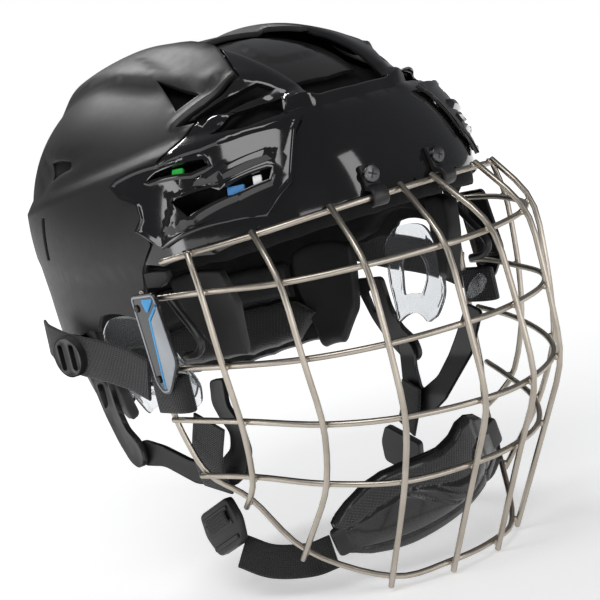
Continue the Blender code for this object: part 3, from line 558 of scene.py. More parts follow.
def swept(rings):
    """A closed solid through rings of matching points, with flat ends."""
    count = len(rings[0])
    faces = [tuple(range(count - 1, -1, -1))]
    for k in range(len(rings) - 1):
        for i in range(count):
            j = (i + 1) % count
            a, b = k * count, (k + 1) * count
            faces.append((a + i, a + j, b + j, b + i))
    last = (len(rings) - 1) * count
    faces.append(tuple(last + i for i in range(count)))
    return np.concatenate(rings), faces


def rod(path, radius, sides=8):
    along = tangents(path)
    across = np.cross(along[0], [0.31, 0.47, 0.83])
    rings = []
    for point, run in zip(path, along):
        across = across - run * (across @ run)
        across = across / np.linalg.norm(across)
        up = np.cross(run, across)
        turns = 2 * math.pi * np.arange(sides) / sides
        rings.append(
            point + radius * (np.cos(turns)[:, None] * across + np.sin(turns)[:, None] * up)
        )
    return swept(rings)




# ---------------------------------------------------------------- fine dome panels


def off_line(points, line):
    """Distance in space from each point to a line on the right side or its mirror image."""
    line = lift(np.array(line))
    folded = np.array(points, float)
    folded[:, 0] = -np.abs(folded[:, 0])
    least = np.full(len(points), 1e9)
    for start, end in zip(line[:-1], line[1:]):
        run = end - start
        t = np.clip((folded - start) @ run / max(run @ run, 1e-9), 0.0, 1.0)
        least = np.minimum(least, np.linalg.norm(folded - start - t[:, None] * run, axis=1))
    return least


def edge_distance(points, loops):
    least = np.full(len(points), 1e9)
    for loop in loops:
        for start, end in zip(loop, np.roll(loop, -1, axis=0)):
            run = end - start
            t = np.clip((points - start) @ run / max(run @ run, 1e-12), 0.0, 1.0)
            least = np.minimum(least, np.linalg.norm(points - start - t[:, None] * run, axis=1))
    return least


def inset(loop, distance):
    """The closed loop moved inwards."""
    loop = np.asarray(loop, float)
    turn = np.sum(loop[:, 0] * np.roll(loop[:, 1], -1) - np.roll(loop[:, 0], -1) * loop[:, 1])
    before = loop - np.roll(loop, 1, axis=0)
    after = np.roll(loop, -1, axis=0) - loop
    before = before / np.maximum(np.linalg.norm(before, axis=1, keepdims=True), 1e-9)
    after = after / np.maximum(np.linalg.norm(after, axis=1, keepdims=True), 1e-9)
    along = before + after
    normal = np.stack([-along[:, 1], along[:, 0]], axis=1)
    normal = normal / np.maximum(np.linalg.norm(normal, axis=1, keepdims=True), 1e-9)
    return loop + normal * distance * (1.0 if turn > 0 else -1.0)


def fine_panel(outline, step, outer, wall, holes=(), shaped=True, rings=(), creases=()):
    """A panel of the dome as in the CAD model, finer: rings are inset lines along its edges.

    outer and wall may be functions of the dome's points and their distances to the edge.
    """
    loops = [densified(list(outline), step)]
    loops += [densified(list(hole), step) for hole in holes]
    lines = []
    for distance in rings:
        for index, loop in enumerate(loops):
            line = inset(loop, distance if index == 0 else -distance)
            keep = edge_distance(line, loops) > 0.85 * distance
            keep &= inside_loop(line, loops[0])
            for other in loops[1:]:
                keep &= ~inside_loop(line, other)
            lines.append((line, keep, True))
    for crease in creases:
        for hand in (1.0, -1.0):
            line = [(u * hand, v) for u, v in crease]
            dense = []
            for start, end in zip(line[:-1], line[1:]):
                start, end = np.array(start), np.array(end)
                parts = max(1, math.ceil(np.linalg.norm(end - start) / step))
                dense += [start + (end - start) * k / parts for k in range(parts)]
            dense = np.array(dense + [np.array(line[-1])])
            keep = inside_loop(dense, loops[0]) & (edge_distance(dense, loops) > 0.5)
            for other in loops[1:]:
                keep &= ~inside_loop(dense, other)
            lines.append((dense, keep, False))
    low, high = loops[0].min(axis=0), loops[0].max(axis=0)
    columns = np.arange(-math.ceil(-low[0] / step), math.ceil(high[0] / step) + 1)
    rows = np.arange(math.floor(low[1] / step), math.ceil(high[1] / step) + 1)
    u, v = np.meshgrid(columns * step, rows * step)
    v = v + np.where(np.abs(np.round(u / step)) % 2 == 1, step / 2, 0.0)
    grid = np.stack([u.ravel(), v.ravel()], axis=1)
    grid = grid[inside_loop(grid, loops[0])]
    grid = grid[edge_distance(grid, loops) > 0.45 * step + (max(rings) if rings else 0.0)]
    points, edges = [], []
    for loop in loops:
        first = len(points)
        points += list(loop)
        edges += [(first + k, first + (k + 1) % len(loop)) for k in range(len(loop))]
    for line, keep, closed in lines:
        first = len(points)
        number = {}
        for k in np.nonzero(keep)[0]:
            number[k] = len(points)
            points.append(line[k])
        for k in number:
            after = (k + 1) % len(line) if closed else k + 1
            if after in number:
                edges.append((number[k], number[after]))
        if len(line) > 1 and keep.any() and not closed:
            grid = grid[far_line(grid, line) > 0.45 * step]
    points += list(grid)
    found = delaunay_2d_cdt([tuple(p) for p in points], edges, [], 0, 1e-4)
    flat = np.array([tuple(p) for p in found[0]])
    triangles = np.array([tuple(face) for face in found[2]])
    centres = flat[triangles].mean(axis=1)
    keep = inside_loop(centres, loops[0])
    for loop in loops[1:]:
        keep &= ~inside_loop(centres, loop)
    triangles = triangles[keep]
    corners = flat[triangles]
    turn = np.cross(corners[:, 1] - corners[:, 0], corners[:, 2] - corners[:, 0])
    triangles[turn < 0] = triangles[turn < 0][:, ::-1]
    used, triangles = np.unique(triangles, return_inverse=True)
    triangles = triangles.reshape(-1, 3)
    base = lift(flat[used])
    edge = edge_distance(flat[used], loops)
    normals = dome_normals(base)
    stand = outer(base, edge) if callable(outer) else np.full(len(base), float(outer))
    depth = wall(base, edge) if callable(wall) else np.full(len(base), float(wall))
    if shaped:
        stand = stand + styling(base)
        depth = depth + low_step(base)
    outside = base + normals * stand[:, None]
    within = base + normals * (stand - depth)[:, None]
    return skinned(outside, within, triangles)


def far_line(points, line):
    least = np.full(len(points), 1e9)
    for start, end in zip(line[:-1], line[1:]):
        run = end - start
        t = np.clip((points - start) @ run / max(run @ run, 1e-12), 0.0, 1.0)
        least = np.minimum(least, np.linalg.norm(points - start - t[:, None] * run, axis=1))
    return least


LOW_Y = (-42.0, -30.0, 30.0, 52.0, 90.0, 135.0)
LOW_Z = (-14.0, -14.0, -14.0, -9.0, -5.0, -3.0)
CROWN_DIP = [(-35.0, 8.0), (-35.0, -20.0), (-36.0, -47.0), (-38.0, -66.0), (-52.0, -63.5)]
CROWN_DIP += [(-62.0, -57.5), (-67.0, -51.0), (-54.0, -26.0), (-43.0, 5.0)]
REAR_DIP = [(74.0, 54.0), (53.0, 49.5), (-8.0, 44.0), (8.0, 38.0), (41.0, 29.0)]


def dense_line(line, step):
    dense = []
    for start, end in zip(line[:-1], line[1:]):
        start, end = np.array(start), np.array(end)
        parts = max(1, math.ceil(np.linalg.norm(end - start) / step))
        dense += [tuple(start + (end - start) * k / parts) for k in range(parts)]
    return dense + [tuple(line[-1])]


FIN_RIM = dense_line(
    [
        top(-70.5, -57.5), top(-63.0, -62.5), top(-55.0, -67.0), top(-47.0, -71.5),
        top(-40.0, -74.5)
    ],
    3.0
)
BROW_LIP = dense_line(
    [
        side(-70.0, 46.0), ahead(-74.0, 44.5), ahead(-53.0, 45.0), ahead(-36.0, 46.0),
        top(-22.0, -107.5), top(0.0, -109.5)
    ],
    3.0
)


def beside(line, shift):
    """A line moved sideways in the flat plan."""
    line = np.array(line, float)
    run = np.gradient(line, axis=0)
    run = run / np.linalg.norm(run, axis=1, keepdims=True)
    return [tuple(p) for p in line + shift * np.stack([-run[:, 1], run[:, 0]], axis=1)]


def dip(points, loop, axes, depth, slope):
    """A hollow inside a loop on the right side and its mirror image."""
    folded = np.stack([-np.abs(points[:, 0]), points[:, 1], points[:, 2]], axis=1)
    flat = folded[:, axes]
    within = inside_loop(flat, loop)
    far = edge_distance(flat, [np.array(loop)])
    return np.where(within, -depth * np.clip(far / slope, 0.0, 1.0), 0.0)


def low_step(points):
    """The small step down below the line along the helmet's side."""
    y, z = points[:, 1], points[:, 2]
    low = np.interp(y, LOW_Y, LOW_Z) - z
    return -0.6 * np.clip(low / 1.2, 0.0, 1.0) * (y > -44.0)


def styling(points):
    """The CAD model's styling with its steps, hollows and rims."""
    x, y, z = np.abs(points[:, 0]), points[:, 1], points[:, 2]
    stand = relief(points)
    stand = stand + low_step(points)
    high = points[:, 2] > 38.0
    stand = stand + np.where(high, dip(points, CROWN_DIP, [0, 1], 2.2, 9.0), 0.0)
    wide = x > 40.0
    stand = stand + np.where(wide, dip(points, REAR_DIP, [1, 2], 3.0, 7.0), 0.0)
    rim = off_line(points, FIN_RIM)
    stand = stand + 1.5 * np.clip(1.0 - rim / 3.0, 0.0, 1.0)
    lip = off_line(points, BROW_LIP)
    fade = np.clip((y + 66.0) / -14.0, 0.0, 1.0)
    return stand + 4.0 * fade * (1.0 - smoothstep(0.3, 5.0, lip))


def belt_line(drop):
    return [side(y, np.interp(y, BELT_Y, BELT_Z) - drop) for y in np.linspace(-98.0, 124.0, 75)]


# ---------------------------------------------------------------- straps, plates and prisms


def evenly(path, step):
    """The path resampled at even steps."""
    path = np.asarray(path, float)
    lengths = np.concatenate([[0.0], np.cumsum(np.linalg.norm(np.diff(path, axis=0), axis=1))])
    stops = np.linspace(0.0, lengths[-1], max(3, int(round(lengths[-1] / step)) + 1))
    return np.column_stack([np.interp(stops, lengths, path[:, k]) for k in range(3)])


def strap(name, path, widths, width, wall, body, stands_for, wave=0.0):
    """Webbing along the path, with a UV map in millimetres: x across and y along."""
    path = evenly(path, 2.2)
    along = tangents(path)
    widths = np.broadcast_to(np.asarray(widths, float), path.shape)
    half = width / 2
    row = [-half + 0.45, -half + 1.6, -half / 2, 0.0, half / 2, half - 1.6, half - 0.45]
    edge = [0.42, 0.5, 0.5, 0.5, 0.5, 0.5, 0.42]
    section = [(a, -b * wall) for a, b in zip(row, edge)] + [(half, 0.0)]
    section += [(a, b * wall) for a, b in zip(row[::-1], edge)] + [(-half, 0.0)]
    section = np.array(section)
    around_section = np.concatenate([[0.0], np.cumsum(np.linalg.norm(np.diff(np.vstack([section, section[:1]]), axis=0), axis=1))])
    distance = np.concatenate([[0.0], np.cumsum(np.linalg.norm(np.diff(path, axis=0), axis=1))])
    rings = []
    for index, (point, run, wide) in enumerate(zip(path, along, widths)):
        wide = wide - run * (wide @ run)
        wide = wide / np.linalg.norm(wide)
        thick = np.cross(run, wide)
        lift_up = wave * math.sin(distance[index] / 9.0)
        rings.append(point + section[:, :1] * wide + (section[:, 1:] + lift_up) * thick)
    count = len(section)
    points = np.concatenate(rings)
    faces, uv = [], []
    for k in range(len(rings) - 1):
        for i in range(count):
            j = (i + 1) % count
            a, b = k * count, (k + 1) * count
            faces.append((a + i, a + j, b + j, b + i))
            low, high = around_section[i], around_section[i + 1]
            near, far = distance[k], distance[k + 1]
            uv.append([(low, near), (high, near), (high, far), (low, far)])
    last = (len(rings) - 1) * count
    faces.append(tuple(range(count - 1, -1, -1)))
    uv.append([(section[i][0], section[i][1]) for i in range(count - 1, -1, -1)])
    faces.append(tuple(last + i for i in range(count)))
    uv.append([(section[i][0], section[i][1]) for i in range(count)])
    volume = 0.0
    for face in faces:
        for k in range(1, len(face) - 1):
            volume += points[face[0]] @ np.cross(points[face[k]], points[face[k + 1]])
    if volume < 0:
        faces = [face[::-1] for face in faces]
        uv = [corners[::-1] for corners in uv]
    flat_uv = [corner for corners in uv for corner in corners]
    return make(name, points, faces, "web", body, stands_for, smooth=50.0, uv=flat_uv)


def strap_pair(name, path, widths, width, wall, body, node, wave=0.0):
    path = np.asarray(path, float)
    widths = np.asarray(widths, float)
    flip = np.array([-1.0, 1.0, 1.0])
    strap(name + "_right", path, widths, width, wall, body, node + "_right", wave)
    strap(name + "_left", path * flip, widths * flip, width, wall, body, node + "_left", wave)


def plate(outline, x_inner, x_outer):
    """A flat plate in side view on the wearer's right; the outline is of (y, z)."""
    inner = np.array([(x_inner, y, z) for y, z in outline])
    outer = np.array([(x_outer, y, z) for y, z in outline])
    turn = sum(a[0] * b[1] - b[0] * a[1] for a, b in zip(outline, outline[1:] + outline[:1]))
    if turn > 0:
        inner, outer = inner[::-1], outer[::-1]
    return swept([inner, outer])


def soft_corners(outline, reach, parts=4):
    """A closed flat outline with its corners rounded."""
    outline = np.asarray(outline, float)
    loop = []
    for before, corner, after in zip(
        np.roll(outline, 1, axis=0), outline, np.roll(outline, -1, axis=0)
    ):
        into, away = before - corner, after - corner
        near = min(reach, 0.45 * np.linalg.norm(into))
        far = min(reach, 0.45 * np.linalg.norm(away))
        start = corner + into / np.linalg.norm(into) * near
        end = corner + away / np.linalg.norm(away) * far
        for t in np.arange(parts + 1) / parts:
            loop.append(tuple((1 - t) ** 2 * start + 2 * t * (1 - t) * corner + t**2 * end))
    return loop


def frame_of(forward, upward):
    forward = np.asarray(forward, float) / np.linalg.norm(forward)
    right = np.cross(forward, upward)
    right = right / np.linalg.norm(right)
    return right, np.cross(right, forward), forward


def stacked(centre, outline, forward, upward, layers):
    """A prism facing forward through layers of (depth, inset in millimetres)."""
    right, up, forward = frame_of(forward, upward)
    turn = sum(a[0] * b[1] - b[0] * a[1] for a, b in zip(outline, outline[1:] + outline[:1]))
    outline = list(outline) if turn > 0 else list(outline)[::-1]
    rings = []
    for depth, shrink in layers:
        flat = inset(np.array(outline), shrink) if shrink else np.array(outline, float)
        rings.append(np.array([centre + a * right + b * up + forward * depth for a, b in flat]))
    return swept(rings)


def circle(radius, sides, squash=1.0, start=0.0):
    turns = start + 2 * math.pi * np.arange(sides) / sides
    return [(radius * math.cos(t), squash * radius * math.sin(t)) for t in turns]


def bent_panel(outline, step, place, stand, wall, holes=(), rings=(0.8, 1.8)):
    """A bent moulding from a flat outline of (y, z).

    place gives its middle surface, x being its thickness; stand(edge, points) adds to the outer face.
    """
    loops = [densified(list(loop), step) for loop in (outline, *holes)]
    points, edges = [], []
    for loop in loops:
        first = len(points)
        points += list(loop)
        edges += [(first + k, first + (k + 1) % len(loop)) for k in range(len(loop))]
    for distance in rings:
        for index, loop in enumerate(loops):
            line = inset(loop, distance if index == 0 else -distance)
            keep = (edge_distance(line, loops) > 0.85 * distance) & inside_loop(line, loops[0])
            for other in loops[1:]:
                keep &= ~inside_loop(line, other)
            points += list(line[keep])
    low, high = loops[0].min(axis=0), loops[0].max(axis=0)
    u, v = np.meshgrid(
        np.arange(low[0], high[0] + step, step), np.arange(low[1], high[1] + step, step)
    )
    grid = np.stack([u.ravel(), v.ravel()], axis=1)
    grid = grid[inside_loop(grid, loops[0])]
    grid = grid[edge_distance(grid, loops) > 0.5 * step + (max(rings) if rings else 0.0)]
    points += list(grid)
    found = delaunay_2d_cdt([tuple(p) for p in points], edges, [], 0, 1e-4)
    flat = np.array([tuple(p) for p in found[0]])
    triangles = np.array([tuple(face) for face in found[2]])
    centres = flat[triangles].mean(axis=1)
    keep = inside_loop(centres, loops[0])
    for loop in loops[1:]:
        keep &= ~inside_loop(centres, loop)
    triangles = triangles[keep]
    corners = flat[triangles]
    turn = np.cross(corners[:, 1] - corners[:, 0], corners[:, 2] - corners[:, 0])
    triangles[turn < 0] = triangles[turn < 0][:, ::-1]
    used, triangles = np.unique(triangles, return_inverse=True)
    flat = flat[used]
    middle = place(flat)
    hand = 1.0 if middle[:, 0].mean() > 0 else -1.0
    extra = stand(edge_distance(flat, loops), flat) if stand else np.zeros(len(flat))
    outer = middle + np.stack([hand * (wall / 2 + extra), 0 * extra, 0 * extra], axis=1)
    inner = middle - np.array([hand * wall / 2, 0.0, 0.0])
    triangles = triangles.reshape(-1, 3)
    return skinned(outer, inner, triangles)


def at_x(x):
    return lambda flat: np.column_stack([np.full(len(flat), x), flat])


def rim_stand(height, width):
    """A raised rim along the edges of a moulding."""
    return lambda edge, flat: height * (1.0 - smoothstep(width, width + 0.9, edge))


def front_at(x, z):
    """Where the front shell's outside is at this place in front view."""
    point = solve(lambda t: np.array([x, -180.0 * t, z]))
    normal = dome_normals(point[None])[0]
    return point + normal * relief(point[None])[0], normal


def surface_at(point, stand):
    """The shell's outside at a flattened place, raised by stand, and its normal."""
    base = lift(np.array([point]))
    normal = dome_normals(base)
    return (base + normal * (styling(base)[:, None] + stand))[0], normal[0]


def pillow(thickness, radius):
    """The outer drop, as a function of the edge distance, for a pad with rounded edges."""

    def drop(edge):
        near = 1.0 - np.clip(edge / radius, 0.0, 1.0)
        return min(radius, 0.46 * thickness) * (1.0 - np.sqrt(1.0 - near**2))

    return drop


# ---------------------------------------------------------------- outer shells


RIDGE_OUT = [top(-x, y) for x, y in ((27.0, -111.0), (33.0, -93.0), (42.0, -76.0))]
RIDGE_IN = [
    top(-x, y) for x,
    y in (
        (23.0, -104.0), (25.0, -93.0), (27.0, -75.0), (28.0, -55.0), (24.0, -22.0), (25.0, 0.0),
        (29.0, 60.0), (33.0, 90.0)
    )
]
RIDGE_SIDE = [top(-x, y) for x, y in ((52.0, -20.0), (55.0, 0.0), (52.0, 50.0))]
CROWN_LOOP = [top(x, y) for x, y in CROWN_DIP]
CREASES = []
for _line, _reach in ((BROW_LIP, 3.9), (FIN_RIM, 2.7)):
    CREASES += [list(_line), beside(_line, _reach), beside(_line, -_reach)]
CREASES += [
    belt_line(-5.0), belt_line(-2.5), belt_line(0.0), belt_line(2.4), belt_line(4.7),
    belt_line(7.0), belt_line(9.5), RIDGE_OUT, RIDGE_IN, RIDGE_SIDE, CROWN_LOOP + CROWN_LOOP[:1]
]


def build_shells():
    rear_half = [
        top(0.0, -20.0),
        top(-22.0, -20.0),
        top(-26.5, -44.0),
        top(-40.0, -75.0),
        top(-57.0, -68.5),
        top(-70.5, -59.5),
        side(-70.0, 47.5),
        side(-62.0, 36.0),
        side(-55.0, 30.0),
        side(-50.0, 12.0),
        side(-55.0, -3.0),
        side(-46.0, -14.0),
        side(-41.0, -28.0),
        side(-37.0, -41.0),
        side(-26.0, -37.0),
        side(1.0, -36.0),
        side(8.0, -44.0),
        *skirt((108.0, -46.0), (135.0, -47.0), (160.0, -52.0), (180.0, -54.0)),
    ]
    rear_vent = [side(38.0, 44.0), side(12.0, 43.0), side(11.0, 39.0), side(32.0, 35.0)]
    crown_vent = [top(-55.0, -31.0), top(-54.0, -62.0), top(-65.0, -55.0)]
    rear_slot = [side(38.0, 17.0), side(33.0, 17.0), side(40.0, -5.0), side(45.0, -5.0)]
    back_vent = [top(-12.0, 78.0), top(-27.0, 74.0), top(-33.0, 98.0), top(-14.0, 104.0)]
    low_vent = [around(176.0, 8.0), around(158.0, 8.0), around(160.0, -4.0), around(176.0, -6.0)]
    holes = []
    for hole in (rear_vent, crown_vent, rear_slot, back_vent, low_vent):
        holes.append(hole)
        holes.append([(-u, v) for u, v in hole])
    make(
        "rear_shell_skin",
        *fine_panel(
            both_sides(rear_half), 3.6, 0.0, SHELL_WALL, holes, rings=(1.1,), creases=CREASES
        ),
        "matte", "rear", "rear_shell", bevel=0.7, smooth=180.0,
    )

    front_half = [
        top(0.0, -109.0),
        top(-22.0, -107.0),
        top(-24.0, -97.0),
        top(-26.5, -80.0),
        top(-27.4, -64.0),
        top(-27.3, -48.6),
        top(-38.9, -75.4),
        top(-39.3, -77.4),
        top(-57.6, -70.6),
        top(-66.0, -65.6),
        side(-74.5, 49.6),
        side(-63.3, 35.4),
        side(-56.2, 29.6),
        side(-51.2, 12.0),
        side(-56.2, -3.0),
        side(-49.0, -12.0),
        side(-60.0, -14.0),
        side(-87.0, -12.5),
        side(-110.0, -8.5),
        around(20.0, -5.5),
        around(0.0, -5.0),
    ]
    window = [
        side(-62.0, 27.0),
        side(-84.0, 30.0),
        ahead(-60.0, 31.5),
        ahead(-43.0, 30.0),
        ahead(-56.0, 13.0),
        ahead(-68.0, 6.5),
        side(-86.0, 3.0),
        side(-70.0, 3.0),
        side(-60.0, 11.0),
    ]
    scoop_upper = [
        top(-64.0, -68.0),
        top(-48.0, -77.5),
        top(-37.0, -86.0),
        top(-33.5, -94.0),
        top(-46.0, -87.0),
        top(-65.0, -75.5),
    ]
    scoop_lower = [
        top(-66.0, -80.0),
        top(-48.0, -91.0),
        top(-35.0, -99.5),
        top(-38.0, -103.0),
        top(-54.0, -95.0),
    ]
    holes = []
    for hole in (window, scoop_upper, scoop_lower):
        holes.append(hole)
        holes.append([(-u, v) for u, v in hole])
    make(
        "front_shell_skin",
        *fine_panel(
            both_sides(front_half), 3.0, 0.0, SHELL_WALL, holes, rings=(1.1,), creases=CREASES
        ),
        "gloss", "helmet", "front_shell", bevel=0.7, smooth=180.0,
    )

    insert_half = [
        top(0.0, 2.0),
        top(-17.0, 2.0),
        top(-19.0, -20.0),
        top(-23.5, -46.0),
        top(-24.0, -64.0),
        top(-22.5, -80.0),
        top(-20.5, -92.0),
        top(0.0, -95.0),
    ]
    embossed = [top(-9.0, -31.0), top(-17.0, -60.0), top(-15.0, -74.0), top(0.0, -76.0)]
    embossed = both_sides([top(0.0, -30.0)] + embossed)

    def insert_stand(points, edge):
        tongue = smoothstep(-24.0, -19.0, points[:, 1])
        flat = np.array([flatten(point) for point in points])
        raised = np.where(
            inside_loop(flat, embossed),
            np.clip(edge_distance(flat, [np.array(embossed)]) / 2.5, 0.0, 1.0), 0.0
        )
        return -INSERT_DROP - 1.8 * tongue + 1.0 * raised

    crease = embossed + embossed[:1]
    make(
        "crown_insert_skin",
        *fine_panel(
            both_sides(insert_half), 3.0, insert_stand, 2.2, shaped=False, rings=(1.0,),
            creases=[crease]
        ),
        "crown", "helmet", "crown_insert", bevel=0.5, smooth=180.0,
    )

    bezel = [
        side(-33.0, 25.0),
        side(-37.0, 27.5),
        side(-62.0, 31.0),
        side(-81.0, 34.0),
        ahead(-63.0, 35.5),
        ahead(-50.0, 36.5),
        ahead(-34.0, 37.0),
        ahead(-40.0, 32.0),
        ahead(-52.0, 11.5),
        ahead(-58.0, 7.0),
        ahead(-65.0, -0.5),
        side(-96.0, 0.5),
        side(-72.0, -3.0),
        side(-64.0, -6.0),
        side(-50.0, 4.0),
        side(-54.0, 9.0),
        side(-52.0, 15.0),
        side(-41.0, 19.0),
    ]
    slots = (
        [
            side(-57.0, 24.0), side(-62.0, 27.0), side(-84.0, 28.5), side(-87.0, 25.5),
            side(-80.0, 24.0)
        ],
        [
            ahead(-76.0, 13.5), ahead(-71.0, 16.0), ahead(-56.0, 19.0), ahead(-59.0, 14.5),
            ahead(-73.0, 10.5)
        ],
        [side(-72.0, 13.5), side(-90.0, 16.0), side(-98.0, 11.5), side(-80.0, 6.0)],
    )
    bar = [
        side(-76.0, 19.0), side(-84.0, 22.5), ahead(-66.0, 25.5), ahead(-51.0, 27.5),
        ahead(-54.5, 22.5), ahead(-68.0, 19.5), side(-88.0, 17.5)
    ]

    rail = [
        side(-58.0, 28.8), side(-80.0, 31.5), ahead(-62.0, 33.0), ahead(-47.0, 34.0),
        ahead(-45.0, 32.5), ahead(-62.0, 31.0), side(-80.0, 29.6)
    ]
    lower = [
        side(-66.0, 2.0), side(-72.0, 16.5), side(-90.0, 18.0), side(-101.0, 12.0),
        side(-100.0, 8.5), side(-82.0, 2.5), side(-70.0, -0.5)
    ]
    raised_parts = ((bar, 2.1, 1.2), (rail, 1.3, 0.8), (lower, 1.7, 1.4))

    def bezel_stand(points, edge):
        flat = np.array([flatten(point) for point in points])
        rise = 0.9 * (1.0 - smoothstep(1.2, 2.0, edge)) - 0.5
        for loop, height, slope in raised_parts:
            far = edge_distance(flat, [np.array(loop)])
            rise = np.where(
                inside_loop(flat, loop),
                np.maximum(rise, -0.5 + height * np.clip(far / slope, 0.0, 1.0)), rise
            )
        return BEZEL_WALL + LINING_GAP + rise

    lines = [loop + loop[:1] for loop, _, _ in raised_parts]
    make_pair(
        "side_bezel_skin",
        *fine_panel(bezel, 2.2, bezel_stand, BEZEL_WALL, slots, rings=(1.2, 2.0), creases=lines),
        "gloss", "helmet", "side_bezel", bevel=0.4, smooth=180.0,
    )
    for name, at, look, size in (
        ("green", side(-72.0, 26.0), "green", (3.0, 2.0)),
        ("blue", ahead(-70.5, 13.6), "blue", (4.2, 2.1)),
        ("white", ahead(-62.8, 15.8), "white", (2.1, 2.3)),
    ):
        point, normal = surface_at(at, 0.5)
        outline = [
            (-size[0], -size[1]), (size[0], -size[1]), (size[0], size[1]), (-size[0], size[1])
        ]
        made = stacked(
            point, soft_corners(outline, 0.7), normal, (0.0, 0.0, 1.0),
            [(-0.8, 0.0), (0.7, 0.0), (1.0, 0.25)]
        )
        make("inlay_%s_right" % name, *made, look, "helmet", smooth=35.0)
        make("inlay_%s_left" % name, *mirrored(*made), look, "helmet", smooth=35.0)

    bumper = [
        side(-47.6, -16.0), side(-61.0, -16.5), side(-61.0, -20.0), side(-56.0, -23.5),
        side(-47.6, -23.0)
    ]
    make_pair(
        "side_bumper_skin", *fine_panel(bumper, 2.0, 1.5, 4.5, rings=(0.8,)), "rubber", "helmet",
        "side_bumper", bevel=0.9, smooth=180.0
    )


# ---------------------------------------------------------------- inside


def front_liner_stand(points):
    """Under the front shell, and lower where the crown insert or the rear shell is above it."""
    x, y = np.abs(points[:, 0]), points[:, 1]
    covered = smoothstep(-92.0, -78.0, y)
    crown = (1.0 - smoothstep(28.0, 38.0, x)) * smoothstep(-106.0, -98.0, y)
    return -SHELL_WALL - FIT_GAP - 5.2 * np.maximum(covered, crown)


def liner_wall(points):
    x, y, z = points[:, 0], points[:, 1], points[:, 2]
    ends = np.abs(y) / np.maximum(np.hypot(x, y), 1.0)
    return 9.0 + 7.0 * ends**2 * (1.0 - smoothstep(30.0, 70.0, z))


def pad_panel(outline, step, outer, wall, radius, quilt=0.0):
    """A foam pad on the dome with rounded edges and, if asked, a soft quilting of its inner face."""

    def stand(points, edge):
        plain = outer(points) if callable(outer) else np.full(len(points), float(outer))
        return plain - pillow(8.0, radius)(edge) * 0.35

    def depth(points, edge):
        plain = wall(points) if callable(wall) else np.full(len(points), float(wall))
        drop = pillow(8.0, radius)(edge)
        swell = quilt * (0.5 + 0.5 * np.sin(points[:, 0] / 4.5) * np.sin(points[:, 2] / 5.0))
        return plain - 1.35 * drop - swell * np.clip(edge / 6.0, 0.0, 1.0)

    rings = tuple(r * radius for r in (0.15, 0.45, 1.0))
    return fine_panel(outline, step, stand, depth, shaped=False, rings=rings)


def build_liners():
    front_half = [
        top(0.0, 12.0),
        top(-40.0, 12.0),
        top(-78.0, 5.0),
        side(-18.0, 20.0),
        side(-36.0, 0.0),
        side(-42.0, -16.0),
        *skirt((0.0, -11.0), (20.0, -12.0), (32.0, -15.0), (46.0, -18.0), (59.0, -19.0))[::-1],
    ]
    make(
        "front_liner_foam",
        *pad_panel(both_sides(front_half), 7.0, front_liner_stand, liner_wall, 3.5),
        "foam", "helmet", "front_liner", smooth=60.0, pad=0.9,
    )
    rear_half = [
        top(0.0, 14.0),
        top(-40.5, 14.0),
        top(-78.0, 7.0),
        side(-15.5, 20.0),
        side(-33.5, 0.0),
        side(-35.0, -14.0),
        side(-30.0, -30.0),
        side(2.0, -30.0),
        side(18.0, -40.0),
        *skirt((108.0, -44.0), (120.0, -49.5), (130.0, -52.5), (160.0, -52.5), (180.0, -51.0)),
    ]
    make(
        "rear_liner_foam",
        *pad_panel(both_sides(rear_half), 7.0, -SHELL_WALL - LINING_GAP, 11.0, 3.5),
        "foam", "rear", "rear_liner", smooth=60.0, pad=0.9,
    )
    upper_half = [
        *skirt((136.0, -50.5), (180.0, -50.5))[::-1], *skirt((136.0, -72.0), (180.0, -74.0))
    ]
    make(
        "nape_pad_cover",
        *pad_panel(both_sides(upper_half), 3.0, -9.0, 9.2, 3.0, 0.6),
        "leather", "rear", "nape_pad", smooth=70.0, pad=0.8,
    )
    lower_half = [
        *skirt((136.0, -75.0), (180.0, -77.0))[::-1],
        *skirt((128.0, -84.0), (129.0, -97.0), (155.0, -103.0), (180.0, -98.0)),
    ]
    make(
        "nape_cushion_cover",
        *pad_panel(both_sides(lower_half), 3.0, -9.0, 10.2, 3.2),
        "mesh", "rear", "nape_cushion", smooth=70.0, pad=0.75,
    )
    carrier_half = [
        *skirt((120.0, -50.4), (140.0, -50.4), (180.0, -50.4))[::-1],
        side(46.0, -56.0),
        side(47.0, -84.0),
        *skirt((124.0, -97.0), (155.0, -105.0), (180.0, -101.0)),
    ]
    make(
        "nape_carrier_skin",
        *fine_panel(both_sides(carrier_half), 5.0, -3.2, 4.5, shaped=False, rings=(1.2,)),
        "grey", "rear", "nape_carrier", bevel=1.0, smooth=180.0,
    )
    corner = [
        (109.0, -45.0), (133.5, -45.0), (134.0, -60.0), (133.0, -74.0), (128.0, -106.0),
        (118.0, -104.0), (110.5, -84.0)
    ]
    corner = [around(bearing, z) for bearing, z in corner]
    make_pair(
        "corner_foam",
        *pad_panel(soft_corners(corner, 5.0), 3.0, -9.6, 6.0, 2.6),
        "flap", "rear", smooth=70.0, pad=0.7,
    )
    temple = [
        side(-50.0, -23.0), side(-82.0, -23.0), side(-85.0, -42.0), side(-78.0, -68.0),
        side(-64.0, -68.0)
    ]
    temple.append(side(-54.0, -45.0))
    make_pair(
        "temple_pad_foam",
        *pad_panel(temple, 3.0, -10.0, 7.6, 2.6),
        "flap", "helmet", "temple_pad", smooth=70.0, pad=0.7,
    )


